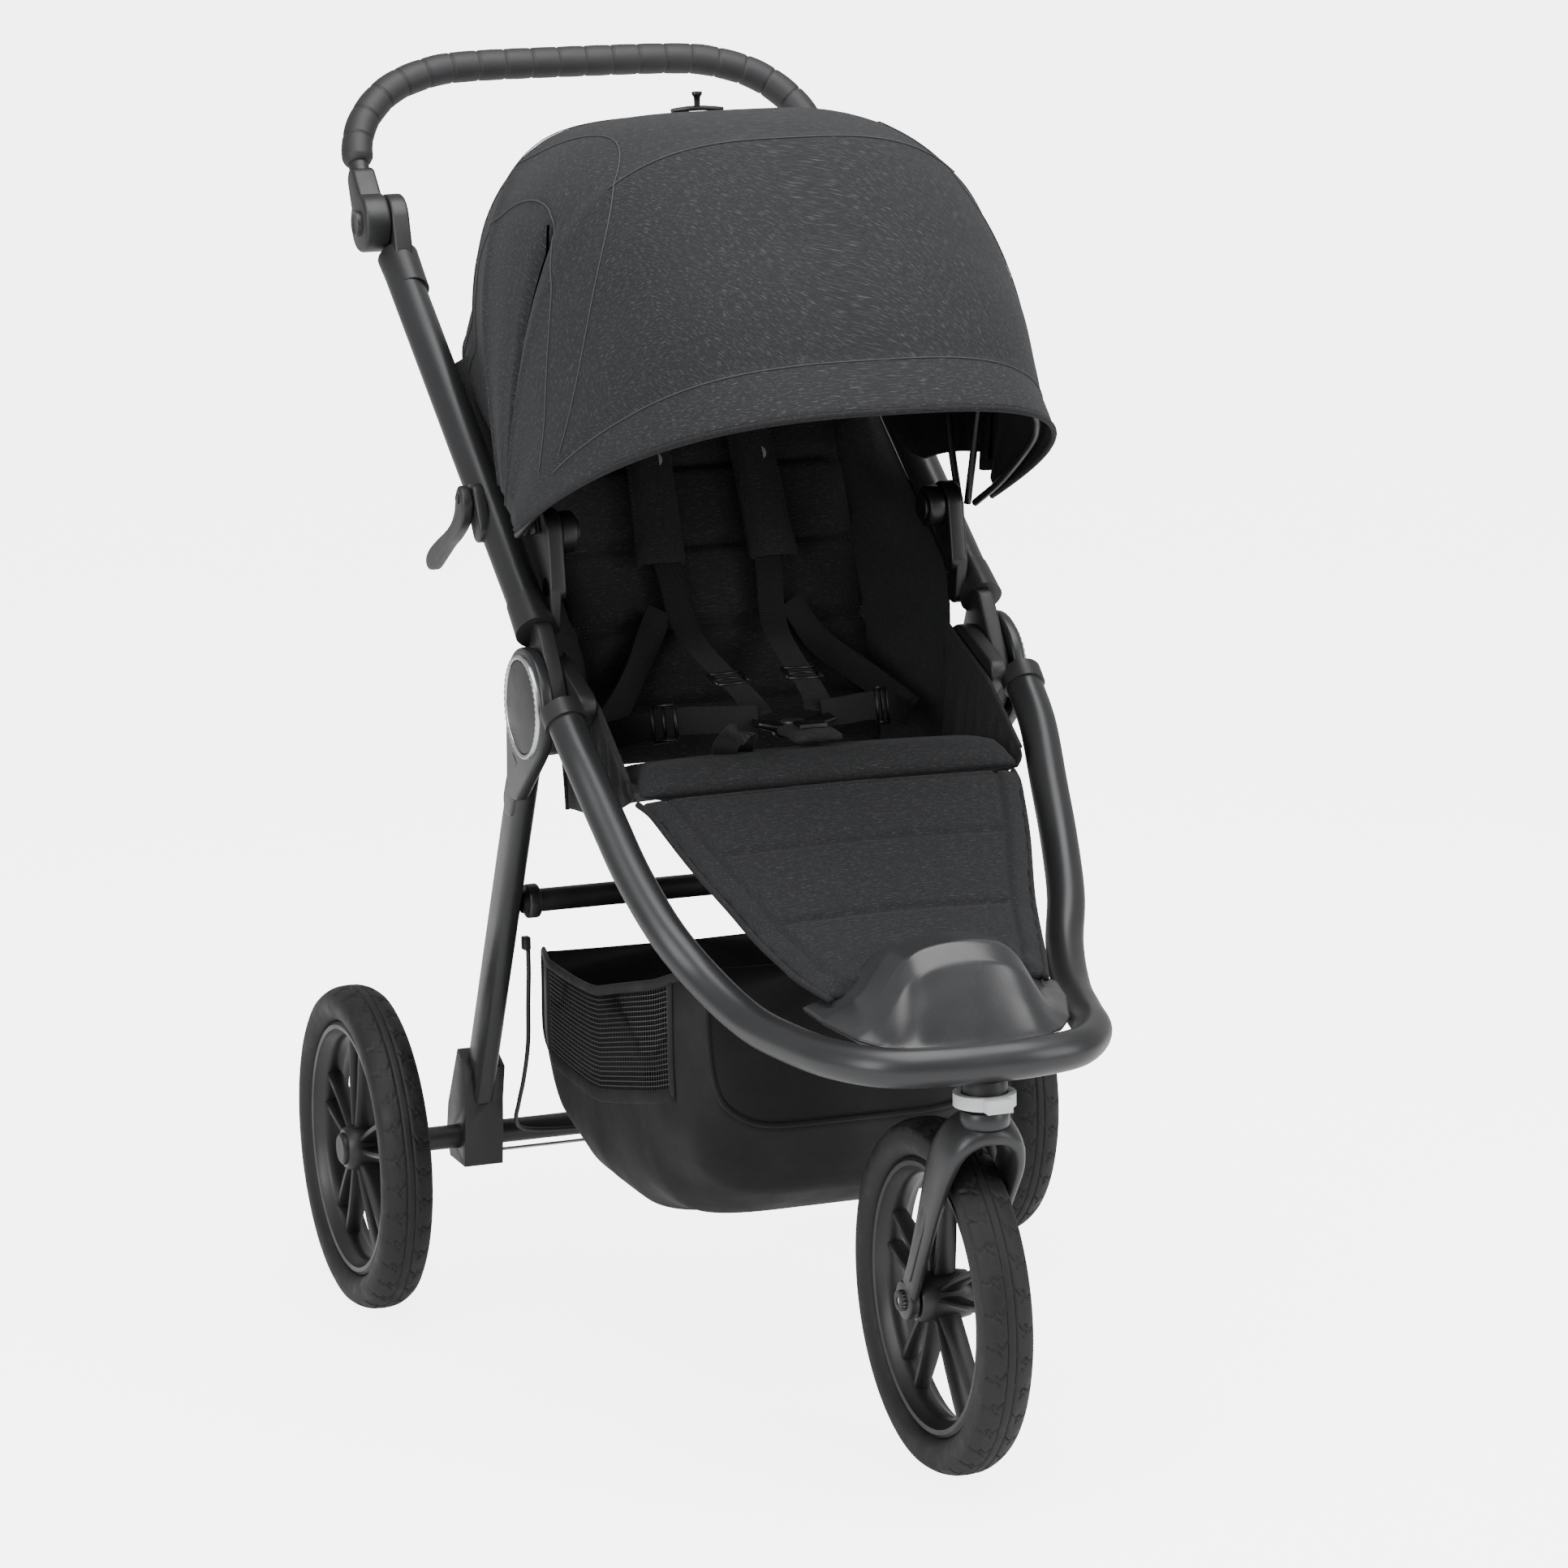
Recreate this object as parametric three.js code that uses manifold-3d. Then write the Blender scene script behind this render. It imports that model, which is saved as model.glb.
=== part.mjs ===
// Three-wheeled folding baby stroller, built as separate pieces in millimetres, +Z up.
// The child faces -Y. The origin is on the floor, at the middle of the whole stroller.
// "left" and "right" are those of the person pushing: left is +X.
import * as THREE from 'three';
import { mergeVertices } from 'three/addons/utils/BufferGeometryUtils.js';
import Module from 'manifold-3d';

const wasm = await Module();
wasm.setup();

// ---------------------------------------------------------------- driving dimensions
// Inside the group, y = 0 is the rear axle; the group is then moved back by REAR_AXLE_Y.
const REAR_AXLE_Y = 267.4;
const WHEEL_R = 150;              // all three wheels
const AXLE_Z = 150;
const REAR_WHEEL_X = 308;         // centre plane of a rear wheel
const REAR_TYRE_WIDTH = 47;
const FRONT_AXLE_Y = -649;
const FRONT_TYRE_WIDTH = 44;
const RIM_R = 118;                // where the tyre sits
const FOLD_Y = -258;              // the fold hinge, shared by both frames and the rear legs
const FOLD_Z = 600;
const UPPER_TUBE_X = 209.5;
const TUBE_R = 16;
const UPPER_START = [-240, 669];  // [y, z] where the upper tube leaves its joint
const UPPER_SLOPE = 0.635;        // radians above the horizontal
const UPPER_LENGTH = 460;
const STEM_Y = -743;              // swivel axis of the front fork
const HANDLE_PIVOT = [160, 985];  // [y, z]
const HANDLE_REACH = 162;         // from that pivot to the top bar
const HANDLE_TILT = 0.983;        // radians above the horizontal
const HANDLE_HALF = 229;
const CANOPY_Y = -220;            // canopy bows turn about this axis
const CANOPY_Z = 745;
const SEAT_CREASE = [-412, 540];  // front edge of the seat
const BACK_FOOT = [-205, 505];    // lower edge of the backrest's front face
const BACK_SLOPE = 1.134;         // radians above the horizontal
const GAP = 0.3;                  // between pieces that touch

// ---------------------------------------------------------------- materials
const finish = (color, roughness, metalness = 0) =>
  new THREE.MeshStandardMaterial({ color, roughness, metalness });
const FRAME_PAINT = finish(0x3f4042, 0.42, 0.55);
const PLASTIC = finish(0x2b2c2e, 0.55);
const GLOSS_SHELL = finish(0x2a2a2c, 0.28);
const GREY_PLASTIC = finish(0xa7a9ab, 0.5);
const STEEL = finish(0xb9bbbd, 0.3, 1);
const RUBBER = finish(0x1b1b1c, 0.8);
const CHARCOAL_CLOTH = finish(0x3a3b3d, 0.95);
const BLACK_CLOTH = finish(0x141415, 0.95);
const WEBBING = finish(0x0f0f10, 0.9);
const GRIP_SKIN = finish(0x232426, 0.7);

// ---------------------------------------------------------------- solids
const part = new THREE.Group();
const stroller = new THREE.Group();
stroller.position.y = REAR_AXLE_Y;
part.add(stroller);

function add(name, geometry, material) {
  const mesh = new THREE.Mesh(geometry, material);
  mesh.name = name;
  stroller.add(mesh);
  return mesh;
}

function toSolid(geometry) {
  const bare = geometry.clone();
  bare.deleteAttribute('normal');
  bare.deleteAttribute('uv');
  const merged = mergeVertices(bare, 1e-4);
  const index = merged.index ? merged.index.array : [...Array(merged.attributes.position.count).keys()];
  return new wasm.Manifold(new wasm.Mesh({
    numProp: 3,
    vertProperties: new Float32Array(merged.attributes.position.array),
    triVerts: new Uint32Array(index),
  }));
}

function fromSolid(solid) {
  const mesh = solid.getMesh();
  const geometry = new THREE.BufferGeometry();
  geometry.setAttribute('position', new THREE.BufferAttribute(mesh.vertProperties, 3));
  geometry.setIndex(new THREE.BufferAttribute(mesh.triVerts, 1));
  geometry.computeVertexNormals();
  return geometry;
}

const join = (...pieces) => fromSolid(pieces.map(toSolid).reduce((a, b) => a.add(b)));
const cut = (piece, ...tools) => fromSolid(tools.map(toSolid).reduce((a, b) => a.subtract(b), toSolid(piece)));

// A closed body from points and triangles, turned so that its faces point out.
function closedBody(points, triangles) {
  const volume = triangles.reduce((sum, [a, b, c]) =>
    sum + points[a].dot(new THREE.Vector3().crossVectors(points[b], points[c])), 0);
  const outward = volume > 0 ? triangles : triangles.map(([a, b, c]) => [a, c, b]);
  const geometry = new THREE.BufferGeometry().setFromPoints(points);
  geometry.setIndex(outward.flat());
  geometry.computeVertexNormals();
  return geometry;
}

// A sheet surface(u, v), u and v from 0 to 1, thickened on the side away from its normal.
function sheet(surface, across, along, thickness) {
  const step = 1e-3;
  const points = [];
  for (const depth of [0, thickness]) {
    for (let i = 0; i <= across; i++) {
      for (let j = 0; j <= along; j++) {
        const u = i / across;
        const v = j / along;
        const here = surface(u, v);
        const du = surface(Math.min(u + step, 1), v).sub(surface(Math.max(u - step, 0), v));
        const dv = surface(u, Math.min(v + step, 1)).sub(surface(u, Math.max(v - step, 0)));
        points.push(here.addScaledVector(du.cross(dv).normalize(), -depth));
      }
    }
  }
  const layer = (across + 1) * (along + 1);
  const at = (i, j, k) => k * layer + i * (along + 1) + j;
  const triangles = [];
  const quad = (a, b, c, d) => triangles.push([a, b, c], [a, c, d]);
  for (let i = 0; i < across; i++) {
    for (let j = 0; j < along; j++) {
      quad(at(i, j, 0), at(i + 1, j, 0), at(i + 1, j + 1, 0), at(i, j + 1, 0));
      quad(at(i, j, 1), at(i, j + 1, 1), at(i + 1, j + 1, 1), at(i + 1, j, 1));
    }
    quad(at(i, 0, 0), at(i, 0, 1), at(i + 1, 0, 1), at(i + 1, 0, 0));
    quad(at(i, along, 0), at(i + 1, along, 0), at(i + 1, along, 1), at(i, along, 1));
  }
  for (let j = 0; j < along; j++) {
    quad(at(0, j, 0), at(0, j + 1, 0), at(0, j + 1, 1), at(0, j, 1));
    quad(at(across, j, 0), at(across, j, 1), at(across, j + 1, 1), at(across, j + 1, 0));
  }
  return closedBody(points, triangles);
}

const v3 = (x, y, z) => new THREE.Vector3(x, y, z);
const polar = (y, z, r, angle) => [y + r * Math.cos(angle), z + r * Math.sin(angle)];
const mix = (a, b, t) => a + (b - a) * t;

// Linear interpolation in a short table of [key, value].
function table(rows, key) {
  const next = rows.findIndex(([k]) => k >= key);
  if (next <= 0) return rows[next < 0 ? rows.length - 1 : 0][1];
  const [k0, a] = rows[next - 1];
  const [k1, b] = rows[next];
  return mix(a, b, (key - k0) / (k1 - k0));
}

function ngon(sides, rx, ry = rx) {
  const turn = (i) => (2 * Math.PI * (i + 0.5)) / sides;
  return new THREE.Shape(Array.from({ length: sides }, (_, i) =>
    new THREE.Vector2(rx * Math.cos(turn(i)), ry * Math.sin(turn(i)))));
}

function sweep(points, section, steps) {
  const curve = points.length > 2
    ? new THREE.CatmullRomCurve3(points, false, 'centripetal')
    : new THREE.LineCurve3(...points);
  return new THREE.ExtrudeGeometry(section, { steps, extrudePath: curve, bevelEnabled: false });
}

// An outline in the YZ plane, as [y, z] points, made solid from x0 to x1.
function slab(outline, x0, x1) {
  const shape = outline instanceof THREE.Shape
    ? outline
    : new THREE.Shape(outline.map(([y, z]) => new THREE.Vector2(y, z)));
  const low = Math.min(x0, x1);
  const geometry = new THREE.ExtrudeGeometry(shape, { depth: Math.abs(x1 - x0), bevelEnabled: false });
  const axes = new THREE.Matrix4().makeBasis(v3(0, 1, 0), v3(0, 0, 1), v3(1, 0, 0));
  return geometry.applyMatrix4(axes).translate(low, 0, 0);
}

function rodX(x0, x1, y, z, r, sides = 24) {
  return slab(ngon(sides, r), x0, x1).translate(0, y, z);
}

function rodZ(x, y, z0, z1, r, sides = 24) {
  const geometry = new THREE.CylinderGeometry(r, r, z1 - z0, sides);
  return geometry.rotateX(Math.PI / 2).translate(x, y, (z0 + z1) / 2);
}

const block = (x, y, z, sx, sy, sz) => new THREE.BoxGeometry(sx, sy, sz).translate(x, y, z);

// A ring round the X axis from a closed [radius, x] profile, with a flat facet at its lowest point.
function ringX(profile, y, z, segments) {
  const points = [...profile, profile[0]].map(([r, x]) => new THREE.Vector2(r, x));
  return new THREE.LatheGeometry(points, segments)
    .rotateY(Math.PI / 2).rotateZ(-Math.PI / 2).rotateX(Math.PI / 2 + Math.PI / segments).translate(0, y, z);
}

// Superellipse hull around two circles, for links between a hub and a tube end.
function link(y0, z0, r0, y1, z1, r1, sides = 20) {
  const angle = Math.atan2(z1 - z0, y1 - y0);
  const lean = Math.asin((r0 - r1) / Math.hypot(y1 - y0, z1 - z0));
  const outline = [];
  const arc = (y, z, r, from, to) => {
    for (let i = 0; i <= sides / 2; i++) outline.push(polar(y, z, r, mix(from, to, (2 * i) / sides)));
  };
  const side = Math.PI / 2 - lean;
  arc(y0, z0, r0, angle + side, angle + 2 * Math.PI - side);
  arc(y1, z1, r1, angle - side, angle + side);
  return outline;
}

const SIDES = [['left', 1], ['right', -1]];

// ---------------------------------------------------------------- lower (front) frame
const LOWER_HALF = [
  [213.5, -335, 597], [211, -370, 568], [203, -412, 523], [195, -451, 483], [182, -495, 443],
  [163, -535, 410], [145, -590, 386], [131, -645, 379], [115, -700, 377], [84, -742, 376], [40, -757, 376],
];
const lowerPath = [
  ...LOWER_HALF.map(([x, y, z]) => v3(x, y, z)),
  v3(0, -759, 376),
  ...LOWER_HALF.toReversed().map(([x, y, z]) => v3(-x, y, z)),
];
add('front_frame', sweep(lowerPath, ngon(8, TUBE_R), 36), FRAME_PAINT);

const LOWER_PLATE = [184, 199];   // x range of the lower frame's hinge plate
const UPPER_PLATE = [199.5, 214.5];
const LEG_PLATE = [215, 226.5];
const CAP_PLATE = [226.8, 230];

function hingePlate(side, [x0, x1], radius, toward, reach) {
  const [y, z] = toward;
  return slab(link(FOLD_Y, FOLD_Z, radius, y, z, reach), side * x0, side * x1);
}

for (const [label, side] of SIDES) {
  const collarStart = v3(side * 214, -324.5, 605.7);
  const collarEnd = v3(side * 213.6, -334.1, 597.8);
  const collar = sweep([collarStart, collarEnd], ngon(12, TUBE_R + 1.5), 1);
  const plate = hingePlate(side, LOWER_PLATE, 42, [-319, 609], 12);
  add(`lower_joint_${label}`, join(plate, collar), PLASTIC);
}

// Swivel housing under the nose, with the bore for the fork's stem.
const HOUSING_R = 19;
const STEM_R = 8;
const housingProfile = [[STEM_R + 0.5, 334], [HOUSING_R, 334], [HOUSING_R, 359.4], [STEM_R + 0.5, 359.4]];
const housing = new THREE.LatheGeometry(
  [...housingProfile, housingProfile[0]].map(([r, z]) => new THREE.Vector2(r, z)), 24);
add('swivel_housing', housing.rotateX(Math.PI / 2).translate(0, STEM_Y, 0), PLASTIC);

const leverProfile = [[HOUSING_R + 0.6, 337], [26, 337], [26, 348], [HOUSING_R + 0.6, 348]];
const leverRing = new THREE.LatheGeometry(
  [...leverProfile, leverProfile[0]].map(([r, z]) => new THREE.Vector2(r, z)), 24);
const leverTab = block(0, -29, 342.5, 22, 10, 11);
add('swivel_lock_lever', join(leverRing.rotateX(Math.PI / 2), leverTab).translate(0, STEM_Y, 0), GREY_PLASTIC);

// Footrest: a hollow shell inside the nose of the frame, with a raised dome across its middle.
function footrestTop(u, v) {
  const x = mix(-1, 1, u);
  const y = mix(-740, -630, v);
  const half = table([[-740, 48], [-735, 60], [-720, 79], [-700, 94], [-660, 108], [-630, 113]], y);
  const dome = table([[-740, 2], [-735, 8], [-720, 34], [-705, 58], [-690, 69], [-660, 64], [-630, 48]], y);
  const spread = 0.45 * (1 - x * x) + 0.55 * Math.exp(-((x * half / 64) ** 6));
  return v3(x * half, y, table([[-740, 382], [-630, 402]], y) + dome * spread);
}
add('footrest', sheet(footrestTop, 12, 8, 4), GLOSS_SHELL);

// ---------------------------------------------------------------- front fork and wheel
const FORK_X = [25.5, 35];
const forkLeg = [
  [-735, 318], [-758, 300], [-748, 270], [-716, 232], [-694, 196], [-676, 164], [-668, 142],
  [-655, 131], [-640, 134], [-634, 150], [-642, 168], [-662, 200], [-686, 245], [-706, 290], [-716, 318],
];
const crown = [[-758, 300], [-735, 330], [-716, 330], [-700, 318], [-705, 303], [-725, 303]];
const crownBlock = slab(crown.toReversed(), -FORK_X[1], FORK_X[1]);
const stem = rodZ(0, STEM_Y, 318, 357, STEM_R, 20);
const forkBody = join(
  crownBlock, stem, rodZ(0, STEM_Y, 316, 333.6, 20, 24),
  slab(forkLeg, FORK_X[0], FORK_X[1]), slab(forkLeg, -FORK_X[0], -FORK_X[1]));
const AXLE_BORE = 6.3;
add('fork', cut(forkBody, rodX(-50, 50, FRONT_AXLE_Y, AXLE_Z, AXLE_BORE, 16)), FRAME_PAINT);

const FRONT_AXLE_PROFILE = [[0, -39], [9, -39], [9, -35.4], [6, -35.4], [6, 35.4], [9, 35.4], [9, 39], [0, 39]];
const frontAxle = new THREE.LatheGeometry(
  FRONT_AXLE_PROFILE.map(([r, x]) => new THREE.Vector2(r, x)), 16);
add('front_axle', frontAxle.rotateZ(-Math.PI / 2).translate(0, FRONT_AXLE_Y, AXLE_Z), STEEL);

// Wheels: a tyre ring, and a rim with five pairs of spokes round a bored hub.
const WHEEL_SEGMENTS = 28;
const TREAD_R = WHEEL_R / Math.cos(Math.PI / WHEEL_SEGMENTS);   // so that the facets touch the floor
function tyreRing(width, y) {
  const half = width / 2;
  const tread = [
    [RIM_R, -half * 0.62], [RIM_R + 12, -half * 0.98], [TREAD_R - 9, -half * 0.88], [TREAD_R, -half * 0.4],
    [TREAD_R, half * 0.4], [TREAD_R - 9, half * 0.88], [RIM_R + 12, half * 0.98], [RIM_R, half * 0.62],
  ];
  return ringX(tread, y, AXLE_Z, WHEEL_SEGMENTS);
}

function spokedRim(width, hubHalf, bore, y) {
  const half = width * 0.3;
  const well = RIM_R - GAP;
  const band = ringX([[well - 13, -half], [well, -half], [well, half], [well - 13, half]], y, AXLE_Z, WHEEL_SEGMENTS);
  const hub = ringX([[bore, -hubHalf], [22, -hubHalf], [22, hubHalf], [bore, hubHalf]], y, AXLE_Z, 12);
  const spokes = [];
  for (let pair = 0; pair < 5; pair++) {
    for (const lean of [-1, 1]) {
      const angle = (pair * 2 * Math.PI) / 5 + lean * 0.11;
      const spoke = new THREE.BoxGeometry(10, 6, 92).translate(0, lean * 5, 62);
      spokes.push(spoke.rotateX(angle).translate(0, y, AXLE_Z));
    }
  }
  return join(band, hub, ...spokes);
}

add('front_tyre', tyreRing(FRONT_TYRE_WIDTH, FRONT_AXLE_Y), RUBBER);
add('front_rim', spokedRim(FRONT_TYRE_WIDTH, 24.5, AXLE_BORE, FRONT_AXLE_Y), PLASTIC);

const REAR_BORE = 7.3;
for (const [label, side] of SIDES) {
  add(`rear_tyre_${label}`, tyreRing(REAR_TYRE_WIDTH, 0).translate(side * REAR_WHEEL_X, 0, 0), RUBBER);
  const rim = spokedRim(REAR_TYRE_WIDTH, 19.5, REAR_BORE, 0);
  add(`rear_rim_${label}`, rim.translate(side * REAR_WHEEL_X, 0, 0), PLASTIC);
}

// ---------------------------------------------------------------- rear legs
const REAR_AXLE_Z = AXLE_Z;
const AXLE_TUBE_R = 11;
const STUB_R = 7;
const rearAxleProfile = [
  [0, -331], [14, -331], [14, -328], [STUB_R, -328], [STUB_R, -284], [AXLE_TUBE_R, -284],
  [AXLE_TUBE_R, 284], [STUB_R, 284], [STUB_R, 328], [14, 328], [14, 331], [0, 331],
];
const rearAxle = new THREE.LatheGeometry(rearAxleProfile.map(([r, x]) => new THREE.Vector2(r, x)), 20);
add('rear_axle', rearAxle.rotateZ(-Math.PI / 2).translate(0, 0, REAR_AXLE_Z), FRAME_PAINT);

const CROSSBAR = [-150, 402];     // [y, z]
const CROSSBAR_R = 10.5;
add('crossbar', rodX(-198, 198, ...CROSSBAR, CROSSBAR_R, 12), FRAME_PAINT);

const LEG_TOP = [-229.5, 550];
const LEG_FOOT = [-16, 196];
const FOOT_OUTLINE = [
  [-24, 126], [22, 126], [30, 150], [24, 176], [-10, 236], [-38, 222], [-30, 190], [-28, 156],
];
for (const [label, side] of SIDES) {
  const legSection = ngon(8, 11.5, 18);
  const legBar = sweep([v3(side * 216, ...LEG_TOP), v3(side * 201, ...LEG_FOOT)], legSection, 1);
  const legHub = rodX(side * LEG_PLATE[0], side * LEG_PLATE[1], FOLD_Y, FOLD_Z, 52, 24);
  const legNeck = slab(link(FOLD_Y, FOLD_Z, 36, -222, 537, 17), side * LEG_PLATE[0], side * LEG_PLATE[1]);
  add(`rear_leg_${label}`, join(legBar, legHub, legNeck), FRAME_PAINT);
  add(`hub_cap_${label}`, rodX(side * CAP_PLATE[0], side * CAP_PLATE[1], FOLD_Y, FOLD_Z, 46, 24), PLASTIC);
  const foot = slab(FOOT_OUTLINE, side * 182, side * 219);
  const bore = rodX(side * 150, side * 250, 0, REAR_AXLE_Z, AXLE_TUBE_R + GAP, 20);
  const socketSection = ngon(8, 11.5 + 2 * GAP, 18 + 2 * GAP);
  const socket = sweep([v3(side * 216, ...LEG_TOP), v3(side * 200.9, -15, 194.7)], socketSection, 1);
  add(`leg_foot_${label}`, cut(foot, bore, socket), PLASTIC);
}

const BRAKE_ROD_Z = 131.5;
add('brake_rod', rodX(-181.5, 181.5, 4, BRAKE_ROD_Z, 2, 8), STEEL);

// Brake cable: out of its clip on the right leg, down beside the leg and along the axle.
const CABLE_ROUTE = [
  [-186, -128, 352], [-184, -122, 330], [-182, -112, 296], [-178.5, -98, 258], [-176.5, -78, 222],
  [-175, -56, 192], [-172, -36, 170], [-163, -24, 158], [-147, -19, 153], [-128, -17.5, 151],
  [-108, -17, 150], [-92, -17, 150],
];
add('brake_cable', sweep(CABLE_ROUTE.map(([x, y, z]) => v3(x, y, z)), ngon(8, 2), 30), PLASTIC);
add('cable_clip', block(-188, -128.5, 358.5, 7, 9, 12), PLASTIC);

// ---------------------------------------------------------------- upper frame
const along = (distance, offset = 0) => [
  UPPER_START[0] + distance * Math.cos(UPPER_SLOPE) - offset * Math.sin(UPPER_SLOPE),
  UPPER_START[1] + distance * Math.sin(UPPER_SLOPE) + offset * Math.cos(UPPER_SLOPE),
];
const HANDLE_BOSS = [216, 240];   // x range of the round boss at the handlebar pivot
const BRAKE_PIVOT = [-128, 766];  // on the right tube only
for (const [label, side] of SIDES) {
  const x = side * UPPER_TUBE_X;
  const tube = sweep([v3(x, ...along(0)), v3(x, ...along(UPPER_LENGTH))], ngon(12, TUBE_R), 1);
  const bracket = slab(link(...BRAKE_PIVOT, 13, ...along(120), 12), -219, -230);
  add(`upper_tube_${label}`, side < 0 ? join(tube, bracket) : tube, FRAME_PAINT);

  const collar = sweep([v3(x, ...along(-10)), v3(x, ...along(-GAP))], ngon(12, TUBE_R + 1.5), 1);
  const plate = hingePlate(side, UPPER_PLATE, 44, along(-17), 14);
  add(`upper_joint_${label}`, join(plate, collar), PLASTIC);

  const cup = sweep([v3(x, ...along(UPPER_LENGTH + GAP)), v3(x, ...along(UPPER_LENGTH + 4))],
    ngon(12, TUBE_R + 1.5), 1);
  const ear = slab(link(...HANDLE_PIVOT, 26, ...along(UPPER_LENGTH + 17), 16), side * 198, side * 215.5);
  add(`handle_socket_${label}`, join(cup, ear), PLASTIC);
}

// Handlebar: a bowed tube between two bosses, inside a grip sleeve, tilted about its pivot.
const tilt = (x, reach) => {
  const [y, z] = polar(...HANDLE_PIVOT, reach, HANDLE_TILT);
  return v3(x, y, z);
};
const HANDLE_CURVE = [[HANDLE_HALF, 24], [HANDLE_HALF, 50], [226, 82], [212, 112], [184, 139], [146, 155], [104, 161]];
const handlePath = [
  ...HANDLE_CURVE.map(([x, reach]) => tilt(x, reach)),
  tilt(0, HANDLE_REACH),
  ...HANDLE_CURVE.toReversed().map(([x, reach]) => tilt(-x, reach)),
];
const HANDLE_TUBE_R = 9.5;
const bosses = SIDES.map(([, side]) =>
  cut(rodX(side * HANDLE_BOSS[0], side * HANDLE_BOSS[1], ...HANDLE_PIVOT, 27, 32),
    rodX(side * 226, side * 260, ...HANDLE_PIVOT, 12.4, 20)));
add('handlebar', join(sweep(handlePath, ngon(8, HANDLE_TUBE_R), 26), ...bosses), FRAME_PAINT);

const gripPath = new THREE.CatmullRomCurve3(handlePath, false, 'centripetal');
const gripSpan = new THREE.CatmullRomCurve3(
  Array.from({ length: 25 }, (_, i) => gripPath.getPointAt(mix(0.06, 0.94, i / 24))), false, 'centripetal');
const gripSection = ngon(8, 14.5);
gripSection.holes.push(new THREE.Path(ngon(8, HANDLE_TUBE_R + 1).getPoints().toReversed()));
const grip = new THREE.ExtrudeGeometry(gripSection, { steps: 24, extrudePath: gripSpan, bevelEnabled: false });
add('handle_grip', grip, GRIP_SKIN);

const BUTTON_TRAVEL = 4;
for (const [label, side] of SIDES) {
  const button = rodX(side * (226.3 + BUTTON_TRAVEL), side * 244, ...HANDLE_PIVOT, 12, 20);
  add(`handle_button_${label}`, button, PLASTIC);
}

// Hand brake: a bent lever outside the bracket on the right upper tube.
const leverOutline = [
  [-136, 774], [-142, 762], [-134, 744], [-112, 729], [-88, 717], [-62, 702], [-40, 690], [-28, 690],
  [-24, 698], [-34, 708], [-58, 720], [-88, 733], [-106, 744], [-116, 756], [-120, 770], [-128, 778],
];
add('brake_lever', slab(leverOutline, -230.4, -241), PLASTIC);

// ---------------------------------------------------------------- canopy
// Each hoop lies in a plane through the canopy axis, at an angle above the forward horizontal.
const HOOD_HEIGHT = [[0.43, 372], [0.57, 385], [0.87, 372], [1.24, 366], [1.57, 362], [1.92, 355], [2.23, 338], [2.6, 335], [2.76, 363]];
const HOOD_HALF = [[0.43, 188], [0.57, 189], [0.87, 206], [1.24, 228], [1.87, 229], [2.76, 225]];
const HOOD_POWER = [[0.43, 5.5], [1.24, 3.8], [1.87, 3.2], [2.76, 2.8]];
const CLOTH_THICK = 3;

function hoodPoint(angle, t, inset = 0) {
  const half = table(HOOD_HALF, angle) - inset;
  const height = table(HOOD_HEIGHT, angle) - inset;
  const power = 2 / table(HOOD_POWER, angle);
  const c = Math.cos(t);
  const s = Math.sin(t);
  const x = half * Math.sign(c) * Math.abs(c) ** power;
  const [y, z] = polar(CANOPY_Y, CANOPY_Z, height * Math.abs(s) ** power, angle);
  return v3(x, y, z);
}

// Hoops stop short of the axis; this is where a cloth panel starts, as a share of its half turn.
const PANEL_START = 0.035;
function canopyPanel(name, from, to, rows) {
  const surface = (u, v) => hoodPoint(mix(from, to, v), Math.PI * mix(PANEL_START, 1 - PANEL_START, u));
  add(name, sheet(surface, 16, rows, CLOTH_THICK), CHARCOAL_CLOTH);
}
const HOOP_BACK = 1.24;
const HOOP_MID = 1.87;
const HOOP_FRONT = 2.7;
canopyPanel('canopy_back_panel', 0.45, HOOP_BACK - 0.012, 3);
canopyPanel('canopy_top_panel', HOOP_BACK + 0.012, HOOP_MID - 0.012, 3);
canopyPanel('canopy_front_panel', HOOP_MID + 0.012, 2.76, 4);

function canopyHoop(name, angle, lane) {
  const rise = (x, r) => v3(x, ...polar(CANOPY_Y, CANOPY_Z, r, angle));
  const inside = [];
  for (let i = 2; i <= 14; i++) inside.push(hoodPoint(angle, (Math.PI * i) / 16, CLOTH_THICK + 7));
  const path = [rise(lane, 0), rise(lane, 70), ...inside, rise(-lane, 70), rise(-lane, 0)];
  add(name, sweep(path, ngon(6, 3.4), 26), PLASTIC);
}
canopyHoop('canopy_hoop_front', HOOP_FRONT, 216);
canopyHoop('canopy_hoop_mid', HOOP_MID, 208.4);
canopyHoop('canopy_hoop_back', HOOP_BACK, 200.8);

for (const [label, side] of SIDES) {
  const bracketPlate = slab(link(CANOPY_Y, CANOPY_Z, 22, ...along(20, 22), 12), side * 181, side * 196.6);
  add(`canopy_mount_${label}`, bracketPlate, PLASTIC);
}
const clipFoot = block(0, -101, 1099, 46, 15, 4);
add('canopy_clip', join(clipFoot, block(0, -101, 1106, 12, 11, 14)), PLASTIC);

// ---------------------------------------------------------------- seat
const lean = (distance, depth) => [
  BACK_FOOT[0] + distance * Math.cos(BACK_SLOPE) + depth * Math.sin(BACK_SLOPE),
  BACK_FOOT[1] + distance * Math.sin(BACK_SLOPE) - depth * Math.cos(BACK_SLOPE),
];
const onBack = (x, distance, depth) => v3(x, ...lean(distance, depth));

add('backrest_pad', sheet((u, v) => {
  const half = table([[0, 150], [250, 158], [470, 150]], v * 470);
  return onBack(mix(-half, half, u), 16 + v * 454, -6 * Math.sin(Math.PI * u));
}, 6, 8, 22), CHARCOAL_CLOTH);

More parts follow.
